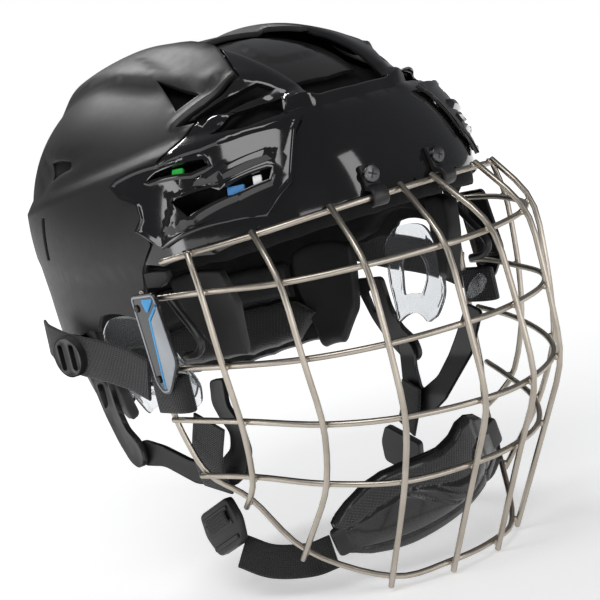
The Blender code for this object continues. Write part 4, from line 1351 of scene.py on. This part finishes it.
def build_crown_pad():
    base, rise = 52.0, 7.0
    rings = []
    for drop, shrink in (
        (0.0, 0.90), (0.25, 0.96), (0.9, 0.99), (2.0, 1.0), (4.8, 0.99), (6.0, 0.965), (rise, 0.90)
    ):
        outline = [(34.0 * math.sin(t), 38.0 * math.cos(t)) for t in np.arange(48) * math.pi / 24]
        rings.append(np.array([(shrink * x, -18.0 - shrink * y, base + drop) for x, y in outline]))
    make("crown_pad_foam", *swept(rings), "leather", "helmet", "crown_pad", smooth=60.0, pad=0.7)


# ---------------------------------------------------------------- cage


CROSSINGS = {
    0: ((98.0, -87.0, -8.0), (76.5, -110.4, -4.4), (45.9, -131.7, -1.3), (9.8, -140.0, 0.0)),
    1: ((99.0, -92.0, -27.3), (81.2, -130.5, -27.3), (51.5, -156.1, -27.3), (15.0, -169.6, -27.3)),
    2: ((97.0, -92.0, -64.0), (79.4, -131.0, -65.5), (51.1, -158.2, -66.0), (15.7, -172.9, -66.0)),
    3: (
        (93.0, -90.5, -92.5), (75.5, -130.2, -98.5), (50.8, -158.2, -102.0), (15.8, -174.7, -104.0)
    ),
    4: (
        (87.5, -80.0, -124.0), (70.9, -114.0, -130.0), (46.5, -140.2, -135.0),
        (14.9, -154.3, -136.0)
    ),
    5: (
        (82.5, -61.5, -137.0), (69.5, -80.0, -166.0), (43.3, -109.0, -186.0),
        (15.1, -123.3, -187.0)
    ),
}
BAR_ENDS = {
    0: ((102.5, -70.0, -10.5),),
    1: ((103.6, -62.0, -27.3), (CAGE_SIDE, -47.0, -27.3)),
    2: ((103.0, -62.0, -62.0), (CAGE_SIDE, -47.0, -62.0)),
    3: ((102.5, -46.5, -88.0),),
    4: ((97.0, -50.0, -118.0),),
    5: ((92.5, -50.0, -119.0),),
}


def outward(point):
    """The direction in which the uprights lie over the bars at this crossing."""
    x, y, z = point
    low = -55.0 if z < -136.5 else (-25.0 if z < -120.0 else 0.0)
    high = 18.0 if z > -10.0 else 0.0
    way = np.array([x, y + 55.0, low + high])
    return way / np.linalg.norm(way)


def upright_path(column):
    """An upright from just above the top wire to just past the frame wire, on the wearer's left."""
    points = [np.array(CROSSINGS[row][column]) for row in range(6)]
    first = (points[0] - points[1]) / np.linalg.norm(points[0] - points[1])
    last = (points[5] - points[4]) / np.linalg.norm(points[5] - points[4])
    points = [points[0] - 0.5 * first] + points[1:5] + [points[5] + 3.5 * last]
    return rounded(points, 14.0, 3)


def under_upright(path, row, column):
    """Where the wire in this row passes behind the upright, and the way from it to the upright."""
    point = np.array(CROSSINGS[row][column])
    starts, ends = path[:-1], path[1:]
    runs = ends - starts
    t = np.einsum("ij,ij->i", point - starts, runs) / np.einsum("ij,ij->i", runs, runs)
    near = starts + np.clip(t, 0.0, 1.0)[:, None] * runs
    index = np.linalg.norm(near - point, axis=1).argmin()
    row_points = [
        BAR_ENDS[row][0], *CROSSINGS[row], np.array(CROSSINGS[row][3]) * (-1.0, 1.0, 1.0)
    ]
    across = np.array(row_points[column + 2]) - np.array(row_points[column])
    away = np.cross(runs[index], across)
    away = away / np.linalg.norm(away)
    away = away if away @ outward(point) > 0 else -away
    return near[index] - away * (2 * WIRE_RADIUS + WELD_GAP), away


def bar_path(uprights, row, parts=2):
    """The top wire, one of the four bars, or the frame wire, from the left side to the right."""
    near = [np.array(p) for p in reversed(BAR_ENDS[row])]
    if row == 5:
        behind = 2 * WIRE_RADIUS + WELD_GAP
        near = [
            np.array((CAGE_SIDE - behind, -44.0, -24.0)),
            np.array((CAGE_SIDE - behind, -43.5, -60.0)),
            np.array((CAGE_SIDE - behind - 1.0, -43.0, -80.0)),
            np.array((97.5, -45.0, -100.0)),
        ] + near
    near += [under_upright(uprights[k], row, k)[0] for k in range(4)]
    far = [p * np.array([-1.0, 1.0, 1.0]) for p in reversed(near)]
    return spline(near + far, parts)


def capped_rod(path, radius, sides=14):
    """A wire with rounded ends."""
    path = np.asarray(path, float)
    points, faces = rod(path, radius, sides)
    rings = points.reshape(-1, sides, 3)
    first = (path[0] - path[1]) / np.linalg.norm(path[0] - path[1])
    last = (path[-1] - path[-2]) / np.linalg.norm(path[-1] - path[-2])
    before = [
        path[0] + first * radius * 0.45 * b + (rings[0] - path[0]) * a for a,
        b in ((0.5, 0.9), (0.85, 0.5))
    ]
    after = [
        path[-1] + last * radius * 0.45 * b + (rings[-1] - path[-1]) * a for a,
        b in ((0.85, 0.5), (0.5, 0.9))
    ]
    return swept([*before, *rings, *after])


def weld_bead(name, at, away):
    """The small bead where an upright is welded over a wire."""
    across = np.cross(away, [0.3, 0.2, 0.9])
    across = across / np.linalg.norm(across)
    up = np.cross(away, across)
    rings = []
    for t in np.linspace(0.12, math.pi - 0.12, 7):
        turns = 2 * math.pi * np.arange(12) / 12
        ring = np.cos(turns)[:, None] * across + np.sin(turns)[:, None] * up
        rings.append(at - away * 1.35 * math.cos(t) + ring * 1.75 * math.sin(t))
    make(name, *swept(rings), "wire", "cage", smooth=80.0)


def build_cage():
    uprights = [upright_path(column) for column in range(4)]
    for column, path in enumerate(uprights):
        left = capped_rod(path, WIRE_RADIUS)
        node = "cage_upright_%s_" + str(column + 1)
        make(
            "upright_wire_left_%d" % (column + 1), *left, "wire", "cage", node % "left",
            smooth=50.0
        )
        make(
            "upright_wire_right_%d" % (column + 1), *mirrored(*left), "wire", "cage",
            node % "right", smooth=50.0
        )
    names = (
        "cage_top_wire", "cage_bar_1", "cage_bar_2", "cage_bar_3", "cage_bar_4", "cage_frame_wire"
    )
    for row, name in enumerate(names):
        path = bar_path(uprights, row, 5)
        make(name + "_drawn", *capped_rod(path, WIRE_RADIUS), "wire", "cage", name, smooth=50.0)
        for column in range(4):
            if row == 0 and column == 3:
                continue
            behind, away = under_upright(uprights[column], row, column)
            at = behind + away * (WIRE_RADIUS + WELD_GAP / 2)
            weld_bead("weld_left_%d_%d" % (row, column + 1), at, away)
            flip = np.array([-1.0, 1.0, 1.0])
            weld_bead("weld_right_%d_%d" % (row, column + 1), at * flip, away * flip)
    badge = [
        (-44.0, -24.5), (-66.0, -23.5), (-72.0, -58.0), (-60.0, -73.0), (-53.0, -73.5),
        (-48.5, -68.0)
    ]
    outline = soft_corners(badge, 3.5)
    x = -CAGE_SIDE - WIRE_RADIUS - FIT_GAP
    make_pair(
        "badge_body", *plate(outline, x, x - 1.9), "label_black", "cage", "side_plate", bevel=0.35,
        smooth=30.0
    )
    rim = inset(np.array(outline), 0.9)
    middle = inset(np.array(outline), 1.7)
    ring = ring_plate([tuple(p) for p in rim], [tuple(p) for p in middle], x - 1.8, x - 2.3)
    make_pair("badge_rim", *ring, "label_silver", "cage", smooth=30.0)
    front = [(-58.4, -37.2), (-66.2, -31.0), (-69.8, -57.4), (-60.0, -70.6), (-57.6, -70.8)]
    make_pair(
        "badge_front", *plate(soft_corners(front, 1.2), x - 1.8, x - 2.15), "label_silver", "cage",
        smooth=30.0
    )
    stripe = [
        (-66.4, -28.6), (-66.2, -30.4), (-58.2, -36.7), (-57.3, -70.6), (-55.9, -70.4),
        (-56.8, -36.0)
    ]
    make_pair("badge_stripe", *plate(stripe, x - 1.8, x - 2.3), "label_blue", "cage", smooth=30.0)
    tip = [(-53.6, -26.6), (-64.6, -26.4), (-56.6, -33.6)]
    make_pair(
        "badge_tip", *plate(soft_corners(tip, 1.8), x - 1.8, x - 2.35), "label_blue", "cage",
        smooth=30.0
    )
    for index, (y, z) in enumerate(((-48.2, -31.0), (-52.5, -66.0))):
        for hand in (-1.0, 1.0):
            centre = np.array([hand * (CAGE_SIDE + 4.0), y, z])
            outline = circle(1.9, 16)
            layers = [(0.0, 0.0), (0.5, 0.0), (0.75, 0.4)]
            made = stacked(centre, outline, (hand, 0.0, 0.0), (0.0, 0.0, 1.0), layers)
            make(
                "badge_rivet_%d_%s" % (index + 1, "right" if hand < 0 else "left"), *made,
                "plastic", "cage", smooth=30.0
            )


def ring_plate(outer, inner, x_low, x_high):
    """A closed band between two matching outlines of (y, z)."""
    rings = []
    for loop, x in ((outer, x_low), (outer, x_high), (inner, x_high), (inner, x_low)):
        rings.append(np.array([(x, y, z) for y, z in loop]))
    count = len(outer)
    faces = []
    for k in range(4):
        for i in range(count):
            j, after = (i + 1) % count, (k + 1) % 4
            faces.append((k * count + i, k * count + j, after * count + j, after * count + i))
    return np.concatenate(rings), faces


# ---------------------------------------------------------------- fittings


def build_clips():
    top_wire = bar_path([upright_path(column) for column in range(4)], 0)
    at = 21.0
    ordered = top_wire[np.argsort(top_wire[:, 0])]
    wire_y = np.interp(at, ordered[:, 0], ordered[:, 1])
    wire_z = np.interp(at, ordered[:, 0], ordered[:, 2])
    slope = (np.interp(at + 5.0, ordered[:, 0], ordered[:, 1]) - wire_y) / 5.0
    for hand, name in ((-1.0, "right"), (1.0, "left")):
        point, normal = front_at(hand * at, 9.0)
        lean = math.atan2(hand * slope, 1.0)
        across = np.array([math.cos(lean), math.sin(lean), 0.0])
        out = np.array([across[1], -across[0], 0.0])
        wire = np.array([hand * at, wire_y, wire_z])
        back = (point - wire) @ out + 0.9
        turns = np.radians(np.linspace(75.0, -115.0, 25))
        outer = [(4.8 * math.cos(t), 4.8 * math.sin(t)) for t in turns]
        inner = [(2.8 * math.cos(t), 2.8 * math.sin(t)) for t in turns[::-1]]
        profile = [(back + 1.2, 15.0), (back + 3.6, 5.5)] + outer + inner
        profile += [(back + 1.1, 3.4), (back - 1.2, 15.0)]
        rings = []
        for end in (-4.0, 4.0):
            rings.append(np.array([wire + across * end + out * a + (0.0, 0.0, b) for a, b in profile]))
        make(
            "wire_clip_" + name, *swept(rings[::-1]), "plastic", "helmet", "j_clip_" + name,
            bevel=0.6, smooth=180.0
        )
        head = wire + out * (back + 3.2) + np.array([0.0, 0.0, 10.5])
        layers = [(-1.0, 0.0), (0.9, 0.0), (1.35, 0.35), (1.5, 0.9)]
        made = stacked(head, circle(4.2, 24), out, (0.0, 0.0, 1.0), layers)
        make("clip_screw_" + name, *made, "steel", "helmet", "j_clip_screw_" + name, smooth=30.0)
        for turn, part in ((0.4, "a"), (0.4 + math.pi / 2, "b")):
            slot_outline = [
                (
                    2.3 * c * math.cos(turn) - 0.45 * s * math.sin(turn),
                    2.3 * c * math.sin(turn) + 0.45 * s * math.cos(turn)
                ) for c,
                s in ((-1, -1), (1, -1), (1, 1), (-1, 1))
            ]
            made = stacked(
                head + out * 1.2, slot_outline, out, (0.0, 0.0, 1.0), [(0.0, 0.0), (0.36, 0.0)]
            )
            make("clip_screw_slot_%s_%s" % (part, name), *made, "rubber", "helmet", smooth=30.0)


def build_ears():
    guard = [
        side(13.0, -47.5),
        side(2.0, -39.5),
        side(-27.0, -39.5),
        side(-38.0, -52.0),
        side(-47.0, -78.0),
        side(-40.0, -89.0),
        side(-30.0, -93.0),
        side(3.0, -94.0),
        side(12.0, -72.0),
    ]
    ear = [
        side(-1.0, -58.0), side(-22.0, -56.0), side(-28.0, -66.0), side(-22.0, -78.0),
        side(-2.0, -79.0)
    ]
    ear = [tuple(p) for p in soft_corners(ear, 6.0)]
    guard = [tuple(p) for p in soft_corners(guard, 6.0)]

    def guard_stand(points, edge):
        rim = 1.0 - smoothstep(1.6, 2.6, edge)
        return -4.8 + 0.4 * rim

    make_pair(
        "ear_guard_clear",
        *fine_panel(guard, 2.6, guard_stand, 1.7, [ear], shaped=False, rings=(1.5, 2.6)),
        "clear", "helmet", "ear_guard", smooth=40.0,
    )
    loop = [(-94.5, -54.5, -27.5), (-94.5, -61.0, -35.0), (-94.5, -70.0, -44.0)]
    loop += [(-94.5, -76.0, -52.0), (-94.5, -70.0, -57.5), (-94.5, -59.0, -58.5)]
    make_pair(
        "ear_loop_moulded", *capped_rod(rounded(loop, 5.0, 8), 2.0, 14), "plastic", "helmet",
        "ear_loop", smooth=50.0
    )


# ---------------------------------------------------------------- straps


def build_side_straps():
    band = [
        (-104.5, 56.0, -45.0),
        (-106.5, 46.0, -49.0),
        (-107.6, 26.0, -53.5),
        (-107.2, 2.0, -57.0),
        (-106.0, -20.0, -61.5),
        (-105.4, -38.0, -67.5),
    ]
    strap_pair("side_web", spline(band, 10), (0.0, 0.25, 1.0), 22.0, 1.6, "helmet", "side_strap")
    oval = [(26.0 + 14.0 * math.cos(t), -54.0 + 10.5 * math.sin(t)) for t in np.arange(40) * math.pi / 20]
    slots = []
    for centre in (20.0, 31.5):
        box = [
            (centre - 2.2, -60.5), (centre + 2.2, -60.5), (centre + 2.2, -47.5),
            (centre - 2.2, -47.5)
        ]
        slots.append(soft_corners(box, 1.6))
    stand = rim_stand(0.7, 1.3)
    make_pair(
        "slider_moulded", *bent_panel(
            oval, 2.0, at_x(-110.3), stand, 2.6, slots
        ), "plastic", "helmet",
        "strap_slider", bevel=0.3, smooth=180.0,
    )
    loop = [
        (-105.0, -41.0, -75.0),
        (-105.0, -58.0, -75.0),
        (-103.0, -65.0, -75.0),
        (-99.5, -65.0, -75.0),
        (-97.4, -58.0, -75.0),
        (-97.4, -46.0, -75.0),
    ]
    strap_pair("loop_web", rounded(loop, 3.0, 6), (0.0, 0.0, 1.0), 18.0, 1.6, "cage", "strap_loop")
    snap = [
        (-47.0, -80.0), (-53.0, -72.0), (-62.0, -67.0), (-66.5, -71.0), (-61.0, -78.0),
        (-51.0, -82.0)
    ]
    made = plate(soft_corners(snap, 2.5), -95.2, -96.5)
    make_pair("snap_tab", *made, "clear", "cage", "strap_snap", bevel=0.25, smooth=30.0)


def build_sling():
    bracket = [
        (44.0, -66.0),
        (35.0, -90.0),
        (26.0, -105.0),
        (17.0, -115.0),
        (8.0, -118.0),
        (2.0, -113.0),
        (4.0, -104.0),
        (14.0, -96.0),
        (19.0, -84.0),
        (21.0, -66.0),
    ]

    def bracket_place(flat):
        return np.column_stack([-95.0 + 0.10 * np.maximum(flat[:, 0] - 12.0, 0.0), flat])

    slot = soft_corners([(27.0, -73.0), (36.0, -74.0), (33.0, -87.0), (27.0, -84.0)], 2.0)
    outline = soft_corners(bracket, 3.5)
    make_pair(
        "bracket_moulded", *bent_panel(
            outline, 2.6, bracket_place, rim_stand(0.8, 1.5), 2.2, [slot]
        ), "grey", "rear",
        "sling_bracket", bevel=0.3, smooth=180.0,
    )

    right = [
        (15.0, -108.0),
        (6.0, -103.5),
        (-6.3, -107.8),
        (-22.1, -116.6),
        (-38.2, -118.3),
        (-52.2, -110.3),
        (-55.2, -102.3),
        (-50.2, -96.3),
        (-45.2, -87.3),
        (-48.2, -75.3),
        (-60.2, -74.3),
        (-58.2, -88.3),
        (-66.2, -97.3),
        (-68.2, -111.3),
        (-60.2, -123.3),
        (-46.2, -130.3),
        (-22.1, -128.6),
        (-4.6, -118.2),
        (9.0, -117.0),
    ]

    def right_place(flat):
        return np.column_stack([np.interp(flat[:, 0], [-38.0, 6.0], [-77.5, -92.0]), flat])

    left = [
        (17.0, -106.0),
        (12.0, -102.0),
        (4.0, -106.0),
        (3.0, -120.0),
        (-1.0, -132.0),
        (-16.0, -124.0),
        (-36.0, -101.0),
        (-50.0, -83.0),
        (-61.0, -88.0),
        (-45.0, -112.0),
        (-21.0, -137.0),
        (-4.0, -147.0),
        (11.0, -145.0),
        (15.0, -132.0),
        (16.0, -118.0),
    ]

    def left_place(flat):
        return np.column_stack([np.interp(flat[:, 1], [-135.0, -112.0], [87.0, 92.0]), flat])

    stand = rim_stand(0.4, 1.3)
    made = bent_panel(soft_corners(right, 3.0), 2.2, right_place, stand, 1.8)
    make("sling_moulded_right", *made, "plastic", "chin", "sling_right", bevel=0.3, smooth=180.0)
    made = bent_panel(soft_corners(left, 3.0), 2.2, left_place, rim_stand(0.3, 1.3), 1.4)
    make("sling_moulded_left", *made, "plastic", "chin", "sling_left", bevel=0.3, smooth=180.0)

    upper_right = [
        (-92.0, -60.5, -92.0), (-88.6, -46.0, -111.0), (-84.5, -40.0, -124.0),
        (-81.5, -37.0, -131.0)
    ]
    upper_left = [(84.6, 4.0, -128.0), (84.0, 8.0, -140.0), (83.0, 15.0, -154.0)]
    strap(
        "upper_web_right", spline(upper_right, 10), (-0.25, 1.0, 0.28), 19.0, 1.6, "chin",
        "chin_strap_upper_right"
    )
    strap(
        "upper_web_left", spline(upper_left, 10), (0.1, 1.0, -0.4), 19.0, 1.6, "chin",
        "chin_strap_upper_left"
    )
    buckle = [
        (-13.0, 12.0), (13.0, 12.0), (15.0, 0.0), (11.0, -12.0), (-11.0, -12.0), (-15.0, 0.0)
    ]
    outline = soft_corners(buckle, 3.0)
    place_right = (np.array([-76.5, -29.0, -153.0]), np.array((-1.0, -0.1, 0.1)), (0.0, 0.45, 1.0))
    place_left = (np.array([80.5, 23.0, -168.0]), np.array((1.0, 0.1, 0.1)), (0.0, -0.5, 1.0))
    for name, (centre, forward, upward) in (("right", place_right), ("left", place_left)):
        layers = [(0.0, 0.4), (0.4, 0.0), (3.6, 0.0), (4.6, 0.6), (4.8, 1.6)]
        made = stacked(centre, outline, forward, upward, layers)
        make("buckle_body_" + name, *made, "plastic", "chin", "chin_buckle_" + name, smooth=35.0)
        right_way, up_way, unit = frame_of(forward, upward)
        for bar_name, middle, tall, high in (
            ("upper", 7.4, 2.6, 1.3), ("middle", 0.0, 3.4, 1.0), ("lower", -8.0, 2.4, 1.5)
        ):
            box = [(-11.0, -tall / 2), (11.0, -tall / 2), (11.0, tall / 2), (-11.0, tall / 2)]
            at = centre + unit * 4.4 + up_way * middle
            made = stacked(
                at, soft_corners(box, 1.0), forward, upward,
                [(0.0, 0.0), (high - 0.4, 0.0), (high, 0.5)]
            )
            make("buckle_%s_bar_%s" % (bar_name, name), *made, "plastic", "chin", smooth=35.0)
        loop = []
        for turn in np.linspace(0.0, math.pi, 13):
            loop.append(centre + unit * (4.9 + 1.5 * math.sin(turn)) + up_way * (3.7 - 3.9 * math.cos(turn)))
        strap("buckle_web_" + name, np.array(loop), right_way, 19.0, 1.0, "chin", ())
    lower_right = [
        (-76.0, -36.0, -166.0), (-70.0, -52.0, -172.0), (-60.0, -70.0, -173.0),
        (-52.0, -80.0, -170.5)
    ]
    lower_left = [
        (77.6, 16.0, -181.0), (76.0, -16.0, -184.0), (67.0, -64.0, -168.0), (55.0, -93.0, -150.0)
    ]
    for name, path in (("right", lower_right), ("left", lower_left)):
        strap(
            "lower_web_" + name, spline(path, 10), (0.35, 0.2, 1.0), 17.0, 1.6, "chin",
            "chin_strap_lower_" + name
        )


CUP_U = (-1.0, -0.8, -0.6, -0.4, -0.2, 0.0, 0.25, 0.45, 0.6, 0.75, 0.9, 1.0)
CUP_HIGH = (15.0, 24.0, 30.0, 32.0, 31.0, 28.5, 24.5, 24.0, 26.0, 24.0, 18.0, 10.0)
CUP_LOW = (-3.0, -9.0, -12.0, -13.5, -14.0, -14.5, -15.5, -16.0, -16.0, -15.0, -12.0, -8.0)


def build_chin_cup():
    centre = np.array([0.0, -88.0, -156.0])
    along = np.array([90.0, -19.0, 28.0])
    along = along / np.linalg.norm(along)
    out = np.array([0.0, -1.0, -0.25])
    out = out - along * (out @ along)
    out = out / np.linalg.norm(out)
    up = np.cross(out, along)
    up = up if up[2] > 0 else -up
    columns, rows = 97, 49

    def skin(stand):
        points = []
        for u in np.linspace(-1.0, 1.0, columns):
            high, low = np.interp(u, CUP_U, CUP_HIGH), np.interp(u, CUP_U, CUP_LOW)
            for v in np.linspace(-1.0, 1.0, rows):
                height = low + (high - low) * (v + 1.0) / 2
                reach = 15.0 * math.cos(0.5 * math.pi * u) + 4.5 * (1.0 - v * v) * (1.0 - u * u)
                raise_by = stand(u, v) if callable(stand) else stand
                points.append(centre + along * 49.0 * u + out * (reach + raise_by) + up * height)
        return np.array(points)

    def band(u):
        """Where the mesh cover ends and the moulding begins."""
        return float(np.interp(u, (-1.0, -0.85, -0.6, -0.2, 0.1, 0.45, 0.62, 1.0), (0.5, 0.35, 0.42, 0.5, 0.25, -0.1, 0.3, 0.4)))

    def moulding(u, v):
        """Mesh cover above, a swollen moulding with grooves below it, and a soft lip."""
        edge = min(1.0, (1.0 - abs(v)) / 0.10, (1.0 - abs(u)) / 0.06)
        bulge = 2.6 + 1.6 * math.sqrt(max(0.0, 1.0 - (1.0 - edge) ** 2))
        from_band = v - band(u)
        groove = -1.2 * math.exp(-((from_band / 0.05) ** 2))
        groove -= 1.0 * math.exp(-(((v + 0.66) / 0.045) ** 2)) * (1.0 if abs(u) < 0.86 else 0.0)
        if -0.62 < v and from_band < 0.0 and abs(u) < 0.9:
            swell = math.sin(math.pi * (v + 0.62) / max(0.05, band(u) + 0.62))
            groove += 2.0 * swell * min(1.0, (0.9 - abs(u)) / 0.2)
        for at, tilt, reach in ((-0.05, -0.55, 0.30), (0.14, -0.45, 0.26)):
            line = u - at - tilt * v
            groove -= 1.1 * math.exp(-((line / 0.022) ** 2)) * (1.0 if -0.42 < v < band(u) - 0.06 else 0.0)
        for end in (-0.88, 0.72):
            groove -= 0.9 * math.exp(-(((u - end - 0.05 * v) / 0.022) ** 2))
        return bulge + groove * edge

    triangles = []
    for i in range(columns - 1):
        for j in range(rows - 1):
            a, b = i * rows + j, (i + 1) * rows + j
            triangles += [(a, b, b + 1), (a, b + 1, a + 1)]
    triangles = np.array(triangles)
    if np.cross(along, up) @ out < 0:
        triangles = triangles[:, ::-1]
    cup = skinned(skin(moulding), skin(0.0), triangles)
    shell = make("cup_moulded", *cup, "cup", "chin", "chin_cup", bevel=0.4, smooth=180.0)
    shell.data.materials.append(LOOKS["mesh"])
    centres = np.array([face.center for face in shell.data.polygons]) / MM - centre
    u, height = centres @ along / 49.0, centres @ up
    high, low = np.interp(u, CUP_U, CUP_HIGH), np.interp(u, CUP_U, CUP_LOW)
    v = 2.0 * (height - low) / (high - low) - 1.0
    bands = np.array([band(value) for value in u])
    covered = (v > bands) & (v < 0.90) & (u < 0.70) & (centres @ out > 1.0)
    shell.data.polygons.foreach_set("material_index", covered.astype(np.int32))

    def cushion_inside(u, v):
        near = max(abs(u), abs(v))
        return -1.6 - 3.9 * (1.0 - max(0.0, (near - 0.72) / 0.28) ** 2)

    pad = skinned(skin(-0.4), skin(cushion_inside), triangles)
    make("cup_cushion", *pad, "foam", "chin", "chin_cup_pad", smooth=80.0, pad=0.7)
    for name, u, height, forward in (("right", -0.93, 5.0, -0.25), ("left", 0.95, 2.0, 0.25)):
        at = centre + along * 49.0 * u + up * height + out * 4.0
        tab = soft_corners([(-7.5, 8.0), (7.5, 8.0), (7.5, -8.0), (-7.5, -8.0)], 3.0)
        facing = out + along * forward
        made = stacked(at, tab, facing, up, [(-2.0, 0.0), (0.8, 0.0), (1.6, 0.5), (1.9, 1.5)])
        make("cup_strap_keeper_" + name, *made, "plastic", "chin", smooth=35.0)


# ---------------------------------------------------------------- camera and light


def build_camera():
    data = bpy.data.cameras.new("photo_camera")
    data.lens = 102.0
    data.sensor_width = 36.0
    camera = bpy.data.objects.new("photo_camera", data)
    bpy.context.scene.collection.objects.link(camera)
    ahead_way = Vector((0.573, 0.808, -0.134)).normalized()
    right_way = Vector((0.775, -0.588, -0.229))
    right_way = (right_way - ahead_way * right_way.dot(ahead_way)).normalized()
    up_way = right_way.cross(ahead_way)
    turn = Matrix((right_way, up_way, -ahead_way)).transposed()
    place = Matrix.Translation(Vector((-510.2, -746.9, 63.7)) * MM)
    camera.matrix_world = place @ turn.to_4x4()
    data.clip_start = 0.05
    data.clip_end = 30.0
    bpy.context.scene.camera = camera


def soft_light(name, place, target, size, power, tall=None, colour=(1.0, 1.0, 1.0)):
    data = bpy.data.lights.new(name, "AREA")
    data.shape = "RECTANGLE"
    data.size = size
    data.size_y = tall or size
    data.energy = power
    data.color = colour
    lamp = bpy.data.objects.new(name, data)
    bpy.context.scene.collection.objects.link(lamp)
    lamp.location = place
    lamp.rotation_euler = (Vector(target) - Vector(place)).to_track_quat("-Z", "Y").to_euler()


def build_studio():
    floor_mesh = bpy.data.meshes.new("studio_floor")
    r = 9.0
    floor_mesh.from_pydata(
        [(-r, -r, -0.192), (r, -r, -0.192), (r, r, -0.192), (-r, r, -0.192)], [], [(0, 1, 2, 3)]
    )
    look = Look("studio_paper", (0.88, 0.88, 0.88), 0.8, Specular_IOR_Level=0.1)
    look.colour(look.noise(0.01, 3.0), 0.3, 0.7, (0.87, 0.87, 0.87), (0.89, 0.89, 0.89))
    # The floor glows, less near the centre and more further out, so that the far floor reads white: painted
    # light from a surface that is no lamp.
    look.shader.inputs["Emission Color"].default_value = (1.0, 1.0, 1.0, 1.0)
    spread = look.node("ShaderNodeVectorMath", operation="LENGTH")
    look.join(look.place((1.0, 1.0, 0.0)), spread.inputs[0])
    glow = look.node("ShaderNodeMapRange")
    for key, value in (("From Min", 0.3), ("From Max", 2.2), ("To Min", 0.45), ("To Max", 1.0)):
        glow.inputs[key].default_value = value
    look.join(spread.outputs["Value"], glow.inputs["Value"])
    look.join(glow.outputs["Result"], look.shader.inputs["Emission Strength"])
    floor_mesh.materials.append(look.material)
    floor = bpy.data.objects.new("studio_floor", floor_mesh)
    bpy.context.scene.collection.objects.link(floor)
    world = bpy.data.worlds.new("studio_world")
    world.use_nodes = True
    bpy.context.scene.world = world
    tree = world.node_tree
    backdrop = tree.nodes["Background"]
    backdrop.inputs["Color"].default_value = (1.0, 1.0, 1.0, 1.0)
    backdrop.inputs["Strength"].default_value = 1.0
    dim = tree.nodes.new("ShaderNodeBackground")
    dim.inputs["Color"].default_value = (0.92, 0.95, 1.0, 1.0)
    dim.inputs["Strength"].default_value = 0.16
    mix = tree.nodes.new("ShaderNodeMixShader")
    rays = tree.nodes.new("ShaderNodeLightPath")
    tree.links.new(rays.outputs["Is Camera Ray"], mix.inputs["Fac"])
    tree.links.new(dim.outputs["Background"], mix.inputs[1])
    tree.links.new(backdrop.outputs["Background"], mix.inputs[2])
    tree.links.new(mix.outputs["Shader"], tree.nodes["World Output"].inputs["Surface"])
    soft_light("key_light", (-0.9, -0.7, 1.3), (0.0, -0.03, 0.0), 0.9, 9.5)
    soft_light("front_light", (0.35, -1.6, 0.35), (0.0, -0.08, -0.02), 0.3, 4.0, 1.3)
    soft_light("back_light", (0.1, 1.1, 1.2), (0.0, 0.0, 0.03), 0.7, 9.0, 0.3)
    soft_light("left_strip", (-1.5, 0.3, 0.25), (0.0, 0.0, 0.0), 0.2, 3.0, 1.2)
    soft_light("low_light", (-0.4, -1.4, -0.05), (0.0, -0.05, -0.08), 0.8, 2.0, 0.3)
    bpy.context.scene.view_settings.view_transform = "Standard"


build_shells()
build_liners()
build_crown_pad()
build_cage()
build_clips()
build_ears()
build_side_straps()
build_sling()
build_chin_cup()
build_camera()
build_studio()
